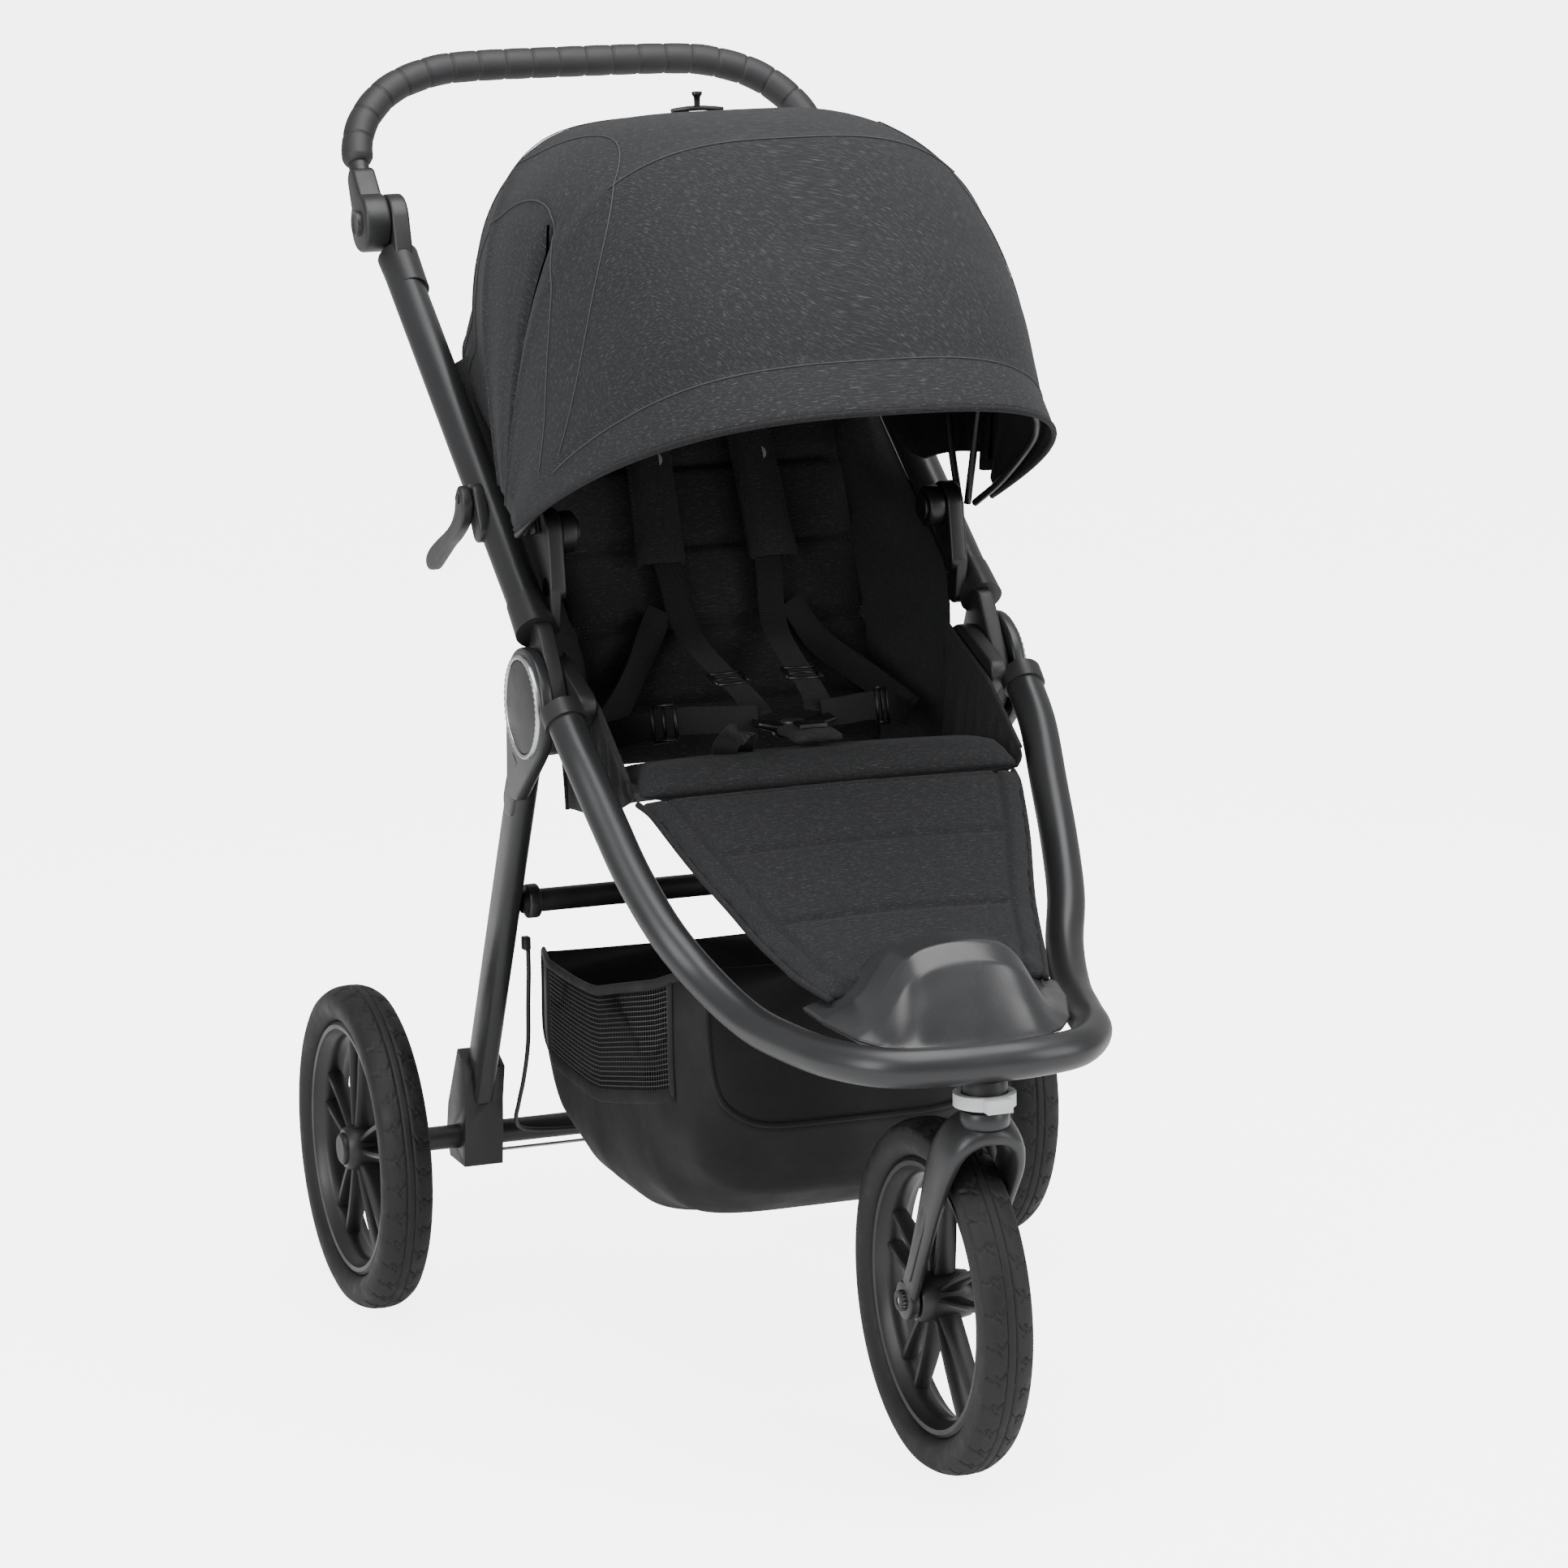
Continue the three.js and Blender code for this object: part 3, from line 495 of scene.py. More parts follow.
def stuffed(name, bm, material, voxel, swell, pressure=4.0):
    """A closed shape remeshed and blown up by cloth simulation, no point moving more than swell."""
    close_shell(bm)
    piece = make_object(name, bm, material, 0)
    remesh = piece.modifiers.new("Remesh", "REMESH")
    remesh.mode = "VOXEL"
    remesh.voxel_size = voxel
    mesh = merged_copy(piece)
    piece.modifiers.clear()
    piece.data = mesh
    cloth = piece.modifiers.new("Cloth", "CLOTH")
    settings = cloth.settings
    settings.quality = 4
    settings.mass = 0.3
    settings.use_pressure = True
    settings.uniform_pressure_force = pressure
    settings.tension_stiffness = settings.compression_stiffness = settings.shear_stiffness = 15
    settings.bending_stiffness = 0.5
    settings.effector_weights.gravity = 0
    cloth.point_cache.frame_start = 1
    cloth.point_cache.frame_end = 20
    for number in range(1, 21):
        scene.frame_set(number)
    blown = merged_copy(piece)
    piece.modifiers.clear()
    for before, after in zip(mesh.vertices, blown.vertices):
        move = after.co - before.co
        if move.length > swell:
            move *= swell / move.length
        before.co += move
    bpy.data.meshes.remove(blown)
    scene.frame_set(1)
    soft = piece.modifiers.new("Smooth", "SUBSURF")
    soft.levels = soft.render_levels = 1
    smooth = merged_copy(piece)
    piece.modifiers.clear()
    piece.data = smooth
    smooth.shade_smooth()
    if not smooth.materials:
        smooth.materials.append(material)
    return piece


def move_points(piece, shift):
    for v in piece.data.vertices:
        v.co += shift(v.co)


def stitches(name, lines, body, length=0.0026, gap=0.0016, width=0.0005):
    """Rows of small thread stitches along the given lines, lying on the cloth."""
    bm = bmesh.new()
    for line in lines:
        run = sum((q - p).length for p, q in zip(line, line[1:]))
        path = smooth_path(line, max(2, int(run / (length + gap))))
        for p, q in zip(path, path[1:]):
            direction = (q - p).normalized()
            made = bmesh.ops.create_icosphere(bm, subdivisions=1, radius=1.0)["verts"]
            turn = direction.to_track_quat("X", "Z").to_matrix().to_4x4()
            placed = Matrix.Translation((p + q) / 2) @ turn @ Matrix.Diagonal((length / 2, width, width, 1))
            bmesh.ops.transform(bm, matrix=placed, verts=made)
    return fit(make_object(name, bm, THREAD, 0), body, "webbing")


# ------------------------------------------------------------------ camera, floor and light
CAMERA_PLACE = at(-1.6398, -4.6268, 1.4568)
CAMERA_TURN, CAMERA_RISE, CAMERA_ROLL = (math.radians(a) for a in (-20.734, 11.442, -0.837))
back = Vector((math.sin(CAMERA_TURN) * math.cos(CAMERA_RISE), -math.cos(CAMERA_TURN) * math.cos(CAMERA_RISE),
               math.sin(CAMERA_RISE)))
level = Vector((math.cos(CAMERA_TURN), math.sin(CAMERA_TURN), 0))
upright = back.cross(level)
right_hand = level * math.cos(CAMERA_ROLL) + upright * math.sin(CAMERA_ROLL)
up_hand = upright * math.cos(CAMERA_ROLL) - level * math.sin(CAMERA_ROLL)
camera_data = bpy.data.cameras.new("camera")
camera_data.lens = 123.34
camera_data.sensor_width = 36
camera = bpy.data.objects.new("camera", camera_data)
camera.matrix_world = Matrix.Translation(CAMERA_PLACE) @ Matrix(
    (right_hand, up_hand, back)).transposed().to_4x4()
scene.collection.objects.link(camera)
scene.camera = camera

floor_bm = bmesh.new()
bmesh.ops.create_grid(floor_bm, x_segments=1, y_segments=1, size=30)
floor_finish = Finish("studio_floor", (0.85, 0.85, 0.85), 0.9, Specular_IOR_Level=0.0, Emission_Color=(1, 1, 1, 1))
seen = floor_finish.nodes.new("ShaderNodeLightPath").outputs["Is Camera Ray"]
glow = floor_finish.nodes.new("ShaderNodeMath")
glow.operation = "MULTIPLY_ADD"
glow.inputs[1].default_value, glow.inputs[2].default_value = 4.5, 0.25
floor_finish.links.new(seen, glow.inputs[0])
floor_finish.links.new(glow.outputs[0], floor_finish.shader.inputs["Emission Strength"])
floor = make_object("floor", floor_bm, floor_finish.material, 0)

world = bpy.data.worlds.new("studio")
world.use_nodes = True
world.node_tree.nodes["Background"].inputs["Color"].default_value = (1, 1, 1, 1)
world.node_tree.nodes["Background"].inputs["Strength"].default_value = 0.55
scene.world = world


def softbox(name, place, target, size, power):
    data = bpy.data.lights.new(name, "AREA")
    data.shape = "RECTANGLE"
    data.size, data.size_y = size
    data.energy = power
    lamp = bpy.data.objects.new(name, data)
    lamp.location = place
    lamp.rotation_euler = (Vector(target) - Vector(place)).to_track_quat("-Z", "Y").to_euler()
    scene.collection.objects.link(lamp)


softbox("top_light", (0.2, -0.6, 3.2), (0, -0.1, 0.6), (2.6, 2.6), 120)
softbox("left_light", (-2.8, -1.6, 1.9), (0, -0.1, 0.6), (1.4, 2.4), 70)
softbox("right_light", (2.4, -2.4, 1.7), (0, -0.2, 0.6), (1.0, 2.2), 40)

# ------------------------------------------------------------------ wheels
WHEEL_R = 0.15
CROWN_HALF = 0.021
SIPES_ROUND = 34
FRONT_AXLE = (-0.649, WHEEL_R)


def tread_depth(turn, x):
    """How deep the tread is cut at an angle round the wheel and a distance from its middle."""
    side = abs(x)
    period = 2 * math.pi / SIPES_ROUND
    local = ((turn / period + (0.5 if x < 0 else 0.0)) % 1 - 0.5) * period * WHEEL_R
    zigzag = table(((0.004, -0.005), (0.009, 0.003), (0.012, -0.002), (0.015, 0.004), (0.021, 0.001)), side)
    sipe = hump(local - zigzag, 0.0011) if 0.0045 < side < 0.0205 else 0.0
    tick = hump(local - zigzag - 0.006, 0.0009) if 0.0085 < side < 0.0125 else 0.0
    groove = hump(side - 0.0036, 0.0007)
    return 0.0017 * max(sipe, tick) + 0.0012 * groove


def tyre(name, body, node, width, x_shift, y):
    half = width / 2
    lanes = [mix(-CROWN_HALF, CROWN_HALF, i / 34) for i in range(35)]
    crown = [(WHEEL_R - 0.0072 * abs(x / CROWN_HALF) ** 2.6, x) for x in lanes]
    wall = [(0.1385, half * 0.985), (0.134, half), (0.128, half * 0.97), (0.122, half * 0.84), (0.1185, half * 0.66)]
    profile = [(r, -x) for r, x in reversed(wall)] + crown + wall
    profile.append(profile[0])
    bm = lathe(profile, 0, 0, 504, 0)
    centre = at(0, 0, 0)
    for v in bm.verts:
        r = math.hypot(v.co.y - centre.y, v.co.z)
        if r > 0.141:
            scale = (r - tread_depth(math.atan2(v.co.z, v.co.y - centre.y), v.co.x)) / r
            v.co.y = centre.y + (v.co.y - centre.y) * scale
            v.co.z *= scale
    bmesh.ops.translate(bm, verts=bm.verts, vec=(x_shift, y, 0.15))
    return fit(make_object(name, bm, RUBBER, 50), body, "tyre", node)


def rim(name, body, node, width, hub_half, bore, x_shift, y):
    half = width * 0.32
    band = lathe([(0.1177, -half), (0.1177, half), (0.1145, half + 0.0025), (0.1105, half + 0.002),
                  (0.109, half - 0.002), (0.1055, half - 0.006), (0.1035, half - 0.009),
                  (0.1035, -half + 0.009), (0.1055, -half + 0.006),
                  (0.109, -half + 0.002), (0.1105, -half - 0.002), (0.1145, -half - 0.0025), (0.1177, -half)],
                 y, 0.15, 120, x_shift)
    hub = lathe([(bore, -hub_half), (0.0175, -hub_half), (0.0195, -hub_half + 0.002), (0.0215, -hub_half * 0.45),
                 (0.0215, hub_half * 0.45), (0.0195, hub_half - 0.002), (0.0175, hub_half), (bore, hub_half),
                 (bore, -hub_half)], y, 0.15, 48, x_shift)
    parts = [band, hub]
    for pair in range(5):
        for side in (-1, 1):
            start, end = [2 * math.pi * pair / 5 + math.pi / 2 + side * a for a in (0.24, 0.15)]
            path = [at(x_shift, y + r * math.cos(angle), 0.15 + r * math.sin(angle))
                    for r, angle in ((0.017, start), (0.045, mix(start, end, 0.3)), (0.075, mix(start, end, 0.65)),
                                     (0.106, end))]
            parts.append(sweep(smooth_path(path, 8), lambda t: (mix(0.0105, 0.0072, t), mix(0.003, 0.0042, t)), 12,
                               across=(1, 0, 0), power=0.75))
    return fit(make_object(name, joined(*parts), RIM_PLASTIC, 40), body, "plastic", node)


FRONT_WIDTH, REAR_WIDTH, REAR_TRACK_HALF = 0.044, 0.047, 0.308
tyre("front_tyre_tread", "front_wheel", "front_tyre", FRONT_WIDTH, 0, FRONT_AXLE[0])
rim("front_rim_spoked", "front_wheel", "front_rim", FRONT_WIDTH, 0.0243, 0.0064, 0, FRONT_AXLE[0])
for label, side in SIDES:
    wheel = f"rear_wheel_{label}"
    tyre(f"rear_tyre_tread_{label}", wheel, f"rear_tyre_{label}", REAR_WIDTH, side * REAR_TRACK_HALF, 0)
    rim(f"rear_rim_spoked_{label}", wheel, f"rear_rim_{label}", REAR_WIDTH, 0.0193, 0.0074, side * REAR_TRACK_HALF, 0)
    cap = lathe([(0, 0), (0.0125, 0), (0.0145, -0.0015), (0.015, -0.004), (0, -0.004), (0, 0)], 0, 0.15, 48, 0)
    fit(make_object(f"hub_dome_{label}", on_side(cap, side, 0.3315), DARK_PLASTIC), wheel, "plastic")

# ------------------------------------------------------------------ fork and swivel
FORK_PLANE = (0, 0.88, 0.47)
fork_half = [(0.0303, -0.649, 0.15), (0.0303, -0.664, 0.176), (0.0305, -0.685, 0.215), (0.031, -0.708, 0.256),
             (0.0305, -0.726, 0.287), (0.0245, -0.738, 0.308), (0.012, -0.743, 0.318)]
fork_path = [at(*p) for p in fork_half] + [at(0, -0.744, 0.3195)] + [at(-x, y, z) for x, y, z in reversed(fork_half)]


def fork_width(t):
    edge = abs(2 * t - 1)
    return (table(((0, 0.021), (0.25, 0.0205), (0.5, 0.0165), (0.8, 0.0125), (1, 0.0125)), edge),
            table(((0, 0.0085), (0.3, 0.0068), (0.6, 0.0048), (1, 0.0048)), edge))


fork_parts = [sweep(smooth_path(fork_path, 72), fork_width, 20, across=FORK_PLANE, power=0.7)]
for side in (-1, 1):
    fork_parts.append(slab(disc_outline(*FRONT_AXLE, 0.0165), side * 0.0255, side * 0.0352, 0.0018))
    rib = link_outline(-0.7, 0.242, 0.006, -0.663, 0.174, 0.0045)
    fork_parts.append(slab(rib, side * 0.0345, side * 0.0362, 0.0008))
collar = lathe([(0, 0), (0.0195, 0), (0.0205, 0.0015), (0.0205, 0.0115), (0.019, 0.0135), (0, 0.0135), (0, 0)],
               0, 0, 40)
bmesh.ops.rotate(collar, verts=collar.verts, cent=at(0, 0, 0), matrix=Matrix.Rotation(-math.pi / 2, 3, "Y"))
bmesh.ops.translate(collar, verts=collar.verts, vec=(0, -0.743, 0.3195))
fork_parts.append(collar)
fit(make_object("fork_casting", joined(*fork_parts), POWDER_COAT, 40), "fork_assembly", "frame_paint", "fork")
for side in (-1, 1):
    bolt = lathe([(0, 0), (0.0035, 0), (0.0035, 0.0012), (0.0062, 0.0016), (0.0088, 0.0008),
                  (0.009, -0.0032), (0, -0.0032), (0, 0)], *FRONT_AXLE, 36, 0)
    fit(make_object(f"axle_bolt_{'left' if side > 0 else 'right'}", on_side(bolt, side, 0.0386), DARK_PLASTIC),
        "fork_assembly", "steel")
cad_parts["front_axle"].data.materials.clear()
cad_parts["front_axle"].data.materials.append(STEEL)
refined("swivel_housing", "chassis", "plastic", DARK_PLASTIC, 0.001)
refined("swivel_lock_lever", "swivel_lock", "grey_plastic", PALE_PLASTIC, 0.001)

# ------------------------------------------------------------------ frame tubes
TUBE_R = 0.016
LOWER_HALF = [(0.2135, -0.335, 0.597), (0.211, -0.37, 0.568), (0.203, -0.412, 0.523), (0.195, -0.451, 0.483),
              (0.182, -0.495, 0.443), (0.163, -0.535, 0.41), (0.145, -0.59, 0.386), (0.131, -0.645, 0.379),
              (0.115, -0.7, 0.377), (0.084, -0.742, 0.376), (0.04, -0.757, 0.376)]
lower_path = [at(*p) for p in LOWER_HALF] + [at(0, -0.759, 0.376)] + [at(-x, y, z) for x, y, z in reversed(LOWER_HALF)]
fit(make_object("front_tube", sweep(smooth_path(lower_path, 150), TUBE_R, 28, power=0.9), POWDER_COAT), "chassis",
    "frame_paint", "front_frame")

FOLD = (-0.258, 0.6)
UPPER_START, UPPER_SLOPE, UPPER_LENGTH = (-0.24, 0.669), 0.635, 0.46


def along(distance, offset=0.0):
    return (UPPER_START[0] + distance * math.cos(UPPER_SLOPE) - offset * math.sin(UPPER_SLOPE),
            UPPER_START[1] + distance * math.sin(UPPER_SLOPE) + offset * math.cos(UPPER_SLOPE))


BRAKE_PIVOT = (-0.128, 0.766)
HANDLE_PIVOT = (0.16, 0.985)
for label, side in SIDES:
    tube = sweep([at(side * 0.2095, *along(UPPER_LENGTH * i / 12)) for i in range(13)], TUBE_R, 28, power=0.9)
    if side < 0:
        tube = joined(tube, slab(link_outline(*BRAKE_PIVOT, 0.013, *along(0.12), 0.012), -0.219, -0.2298, 0.002))
    fit(make_object(f"upper_tube_{label}_round", tube, POWDER_COAT), "upper_frame", "frame_paint",
        f"upper_tube_{label}")

    lower_joint = joined(
        slab(link_outline(*FOLD, 0.042, -0.319, 0.609, 0.012), side * 0.184, side * 0.199, 0.002),
        sweep([at(side * 0.214, -0.3225, 0.6075), at(side * 0.2138, -0.329, 0.602), at(side * 0.2135, -0.3355, 0.5965)],
              0.0182, 28, power=0.9))
    fit(make_object(f"lower_knuckle_{label}", lower_joint, JOINT_PLASTIC), "chassis", "plastic", f"lower_joint_{label}")
    upper_joint = joined(
        slab(link_outline(*FOLD, 0.044, *along(-0.017), 0.014), side * 0.1996, side * 0.2144, 0.002),
        sweep([at(side * 0.2095, *along(d)) for d in (-0.01, 0.0, 0.014, 0.026)],
              lambda t: mix(0.0188, 0.0172, t), 28, power=0.9))
    fit(make_object(f"upper_knuckle_{label}", upper_joint, JOINT_PLASTIC), "upper_frame", "plastic",
        f"upper_joint_{label}")
    socket = joined(
        slab(link_outline(*HANDLE_PIVOT, 0.026, *along(UPPER_LENGTH + 0.012), 0.0165),
             side * 0.198, side * 0.2154, 0.003),
        sweep([at(side * 0.2075, *along(UPPER_LENGTH + d)) for d in (-0.028, -0.01, 0.006, 0.02)],
              lambda t: mix(0.0172, 0.0185, t), 28, power=0.9))
    fit(make_object(f"handle_knuckle_{label}", socket, JOINT_PLASTIC), "upper_frame", "plastic",
        f"handle_socket_{label}")

# ------------------------------------------------------------------ rear legs and axle
LEG_TOP, LEG_FOOT, CROSSBAR = (-0.2295, 0.55), (-0.016, 0.196), (-0.15, 0.402)
for label, side in SIDES:
    leg_path = [at(side * mix(0.216, 0.201, t), mix(LEG_TOP[0], LEG_FOOT[0], t), mix(LEG_TOP[1], LEG_FOOT[1], t))
                for t in (i / 8 for i in range(9))]
    shield = link_outline(*FOLD, 0.052, -0.222, 0.53, 0.0195, 24)
    leg = joined(sweep(leg_path, (0.0112, 0.018), 24, across=(1, 0, 0), power=0.62),
                 slab(shield, side * 0.2152, side * 0.2268, 0.003),
                 slab(link_outline(-0.2265, 0.545, 0.0155, -0.203, 0.506, 0.014), side * 0.2085, side * 0.2262, 0.003))
    fit(make_object(f"leg_{label}_tube", leg, POWDER_COAT), "rear_legs", "frame_paint", f"rear_leg_{label}")
    disc = slab(disc_outline(*FOLD, 0.0405, 72), side * 0.2268, side * 0.2292, 0.0006)
    fit(make_object(f"hub_cap_{label}_disc", disc, DARK_PLASTIC), "rear_legs", "plastic", f"hub_cap_{label}")
    ring = lathe([(0.0415, 0.2268), (0.0415, 0.2296), (0.0425, 0.2303), (0.0445, 0.2303),
                  (0.0455, 0.2296), (0.0455, 0.2268), (0.0415, 0.2268)], *FOLD, 96)
    for v in ring.verts:
        r = math.hypot(v.co.y - AXLE_Y - FOLD[0], v.co.z - FOLD[1])
        turn = math.atan2(v.co.z - FOLD[1], v.co.y - AXLE_Y - FOLD[0])
        v.co.x += 0.0004 * math.cos(48 * turn) * (r > 0.042) * (v.co.x > 0.2299)
    fit(make_object(f"hub_ring_{label}", on_side(ring, side), STEEL, 60), "rear_legs", "steel")
    refined(f"leg_foot_{label}", "rear_legs", "plastic", JOINT_PLASTIC, 0.0035)
    screw = slab(disc_outline(-0.004, 0.15, 0.0048, 24), side * 0.2188, side * 0.2205, 0.0006)
    fit(make_object(f"foot_screw_{label}", screw, STEEL), "rear_legs", "steel")

fit(make_object("axle_tube", sweep([at(x / 20 * 0.284, 0, 0.15) for x in range(-20, 21)], 0.011, 24), POWDER_COAT),
    "rear_legs", "frame_paint")
stubs = joined(*[sweep([at(side * x, 0, 0.15) for x in (0.28, 0.3, 0.3155, 0.3275)], 0.0069, 20) for side in (-1, 1)],
               *[slab(disc_outline(0, 0.15, 0.0155, 36), side * 0.2795, side * 0.2875, 0.002) for side in (-1, 1)])
fit(make_object("axle_stubs", stubs, DARK_PLASTIC), "rear_legs", "plastic", "rear_axle")
crossbar = sweep([at(x / 12 * 0.1985, *CROSSBAR) for x in range(-12, 13)], 0.0105, 24)
fit(make_object("crossbar_tube", crossbar, DARK_PLASTIC), "rear_legs", "frame_paint", "crossbar")
for label, side in SIDES:
    end = slab(disc_outline(*CROSSBAR, 0.0155, 36), side * 0.183, side * 0.1945, 0.002)
    fit(make_object(f"crossbar_end_{label}", end, DARK_PLASTIC), "rear_legs", "plastic")
fit(make_object("brake_wire", sweep([at(x / 10 * 0.181, 0.004, 0.1315) for x in range(-10, 11)], 0.0016, 10), STEEL),
    "rear_legs", "steel", "brake_rod")
CABLE_ROUTE = [(-0.186, -0.128, 0.352), (-0.184, -0.122, 0.33), (-0.182, -0.112, 0.296), (-0.1785, -0.098, 0.258),
               (-0.1765, -0.078, 0.222), (-0.175, -0.056, 0.192), (-0.172, -0.036, 0.17), (-0.163, -0.024, 0.158),
               (-0.147, -0.019, 0.153), (-0.128, -0.0175, 0.151), (-0.108, -0.017, 0.15), (-0.092, -0.017, 0.15)]
cable = sweep(smooth_path([at(*p) for p in CABLE_ROUTE], 80), 0.0021, 12)
fit(make_object("brake_cable_sleeve", cable, DARK_PLASTIC), "rear_legs", "plastic", "brake_cable")
refined("cable_clip", "rear_legs", "plastic", DARK_PLASTIC, 0.001)

# ------------------------------------------------------------------ handlebar
HANDLE_TILT, HANDLE_STEPS = 0.983, 700
HANDLE_CURVE = [(0.229, 0.024), (0.229, 0.05), (0.226, 0.082), (0.212, 0.112), (0.184, 0.139), (0.146, 0.155),
                (0.104, 0.161)]


def on_handle(x, reach):
    return at(x, HANDLE_PIVOT[0] + reach * math.cos(HANDLE_TILT), HANDLE_PIVOT[1] + reach * math.sin(HANDLE_TILT))


handle_path = smooth_path([on_handle(*p) for p in HANDLE_CURVE] + [on_handle(0, 0.162)]
                          + [on_handle(-x, r) for x, r in reversed(HANDLE_CURVE)], HANDLE_STEPS)
bosses = []
for side in (-1, 1):
    bosses.append(slab(disc_outline(*HANDLE_PIVOT, 0.027, 56), side * 0.216, side * 0.2405, 0.0035))
    neck = (HANDLE_PIVOT[0] + 0.044 * math.cos(HANDLE_TILT), HANDLE_PIVOT[1] + 0.044 * math.sin(HANDLE_TILT))
    bosses.append(slab(link_outline(*HANDLE_PIVOT, 0.02, *neck, 0.0125), side * 0.2175, side * 0.2395, 0.003))
bar = joined(sweep(handle_path[::7], 0.0095, 20), *bosses)
fit(make_object("handlebar_bar", bar, JOINT_PLASTIC), "handle", "frame_paint", "handlebar")
GRIP_TURNS = 21


def grip_radius(t):
    place = (t * GRIP_TURNS) % 1
    edge = min(place, 1 - place) / GRIP_TURNS * 0.63
    ends = smoothstep(min(t, 1 - t) / 0.012)
    return (0.0122 + 0.0022 * ends) - 0.0011 * hump(edge, 0.0012) + 0.0003 * math.sin(place * math.pi)


grip_path = handle_path[int(HANDLE_STEPS * 0.06):int(HANDLE_STEPS * 0.94) + 1]
fit(make_object("grip_wrapped", sweep(grip_path, grip_radius, 24), GRIP_FOAM, 70), "handle", "grip", "handle_grip")
for label, side in SIDES:
    button = lathe([(0, 0), (0.008, 0), (0.0095, 0.0006), (0.0104, 0.0018), (0.0118, 0.0018),
                    (0.012, 0.0008), (0.012, -0.012), (0, -0.012), (0, 0)], *HANDLE_PIVOT, 48)
    fit(make_object(f"press_button_{label}", on_side(button, side, 0.2425), BUTTON_PLASTIC),
        f"handle_press_pad_{label}", "plastic", f"handle_button_{label}")

lever_outline = [(-0.136, 0.774), (-0.142, 0.762), (-0.134, 0.744), (-0.112, 0.729), (-0.088, 0.717), (-0.062, 0.702),
                 (-0.04, 0.69), (-0.028, 0.69), (-0.024, 0.698), (-0.034, 0.708), (-0.058, 0.72), (-0.088, 0.733),
                 (-0.106, 0.744), (-0.116, 0.756), (-0.12, 0.77), (-0.128, 0.778)]
smooth_lever = [(p.y, p.z) for p in smooth_path([(0, y, z) for y, z in lever_outline + lever_outline[:1]], 60)][:-1]
lever = joined(slab(smooth_lever, -0.2304, -0.2412, 0.0028, 4),
               slab(disc_outline(*BRAKE_PIVOT, 0.0045, 28), -0.241, -0.2425, 0.0006))
fit(make_object("brake_lever_blade", lever, JOINT_PLASTIC), "hand_brake", "plastic", "brake_lever")

# ------------------------------------------------------------------ canopy
CANOPY = (-0.22, 0.745)
# The hood's section at each angle round its pivot, from the tail to the brim: height, half-width and squareness.
HOOD_HEIGHT = ((0.43, 0.372), (0.57, 0.385), (0.87, 0.372), (1.24, 0.366), (1.57, 0.362), (1.92, 0.355),
               (2.23, 0.338), (2.6, 0.335), (2.76, 0.363))
HOOD_HALF = ((0.43, 0.188), (0.57, 0.189), (0.87, 0.206), (1.24, 0.228), (1.87, 0.229), (2.76, 0.225))
HOOD_POWER = ((0.43, 5.5), (0.57, 4.4), (1.24, 3.8), (1.87, 3.2), (2.76, 2.8))
HOOD_START, HOOD_END = 0.43, 2.76
HOOP_BACK, HOOP_MID, HOOP_FRONT = 1.24, 1.87, 2.7
PANEL_START = 0.006


def hood_point(angle, t, inset=0.0):
    half = table(HOOD_HALF, angle) - inset
    height = table(HOOD_HEIGHT, angle) - inset
    power = 2 / table(HOOD_POWER, angle)
    c, s = math.cos(t), math.sin(t)
    x = half * math.copysign(abs(c) ** power, c)
    r = height * abs(s) ** power
    return at(x, CANOPY[0] + r * math.cos(angle), CANOPY[1] + r * math.sin(angle))


SLIT_V = 0.566
SLIT_LEAN, SLIT_SHARE = 0.05, 0.24
ARCH = ((0.10, 0.907), (0.2, 0.759), (0.3, 0.648), (0.37, 0.537), (0.36, 0.444), (0.29, 0.333), (0.22, 0.203),
        (0.17, 0.0))
INNER_ARCH = ((0.06, 0.889), (0.12, 0.722), (0.19, 0.611), (0.235, 0.527), (0.2, 0.351), (0.15, 0.184), (0.12, 0.0))


def slit_row(side):
    """Where the tucked slit runs, at a share of the way in from the side."""
    return SLIT_V + SLIT_LEAN * (SLIT_SHARE - side)


def hood_place(u, v):
    """The canopy cloth, with its tucked side slits, its ridges over the bows and a little slack."""
    angle = mix(HOOD_START, HOOD_END, v)
    t = math.pi * mix(PANEL_START, 1 - PANEL_START, u)
    side = min(u, 1 - u)
    slit_reach = smoothstep((SLIT_SHARE - side) / 0.05)
    inset = 0.012 * slit_reach * hump(v - slit_row(side), 0.011)
    for ridge in (HOOP_BACK, HOOP_MID):
        inset -= 0.0016 * hump(angle - ridge, 0.03)
    between = min(max((angle - HOOP_BACK) / (HOOP_MID - HOOP_BACK), 0), 1)
    inset += 0.004 * smoothstep((side - 0.2) / 0.2) * math.sin(math.pi * between)
    wave = noise.noise(Vector((7 * u, 9 * v, 1.3)))
    inset += 0.0022 * wave * smoothstep(v / 0.1) * smoothstep((1 - v) / 0.08)
    return hood_point(angle, t, inset)


def hood_grain(u, v):
    """The weave runs along the brim, up the sides and aslant over the top."""
    side = min(u, 1 - u)
    if v > 0.93:
        return 0.0
    if side < 0.2 and v < 0.9:
        return 1.45 if u < 0.5 else -1.45
    if side < 0.3 and 0.2 < v < 0.9:
        return 0.1
    return 0.72


hood = make_object("canopy_hood", sheet_grid(132, 120, hood_place, (0.95, 0.78), hood_grain),
                   [CANOPY_CLOTH, LINING], 0)
bm = bmesh.new()
bm.from_mesh(hood.data)
bmesh.ops.recalc_face_normals(bm, faces=bm.faces)
middle_face = min(bm.faces, key=lambda f: (f.calc_center_median() - hood_place(0.5, 0.5)).length)
if middle_face.normal.z < 0:
    bmesh.ops.reverse_faces(bm, faces=bm.faces)
bm.to_mesh(hood.data)
bm.free()
hood.data.shade_smooth()
thicken(hood, 0.0022, -1, 1)


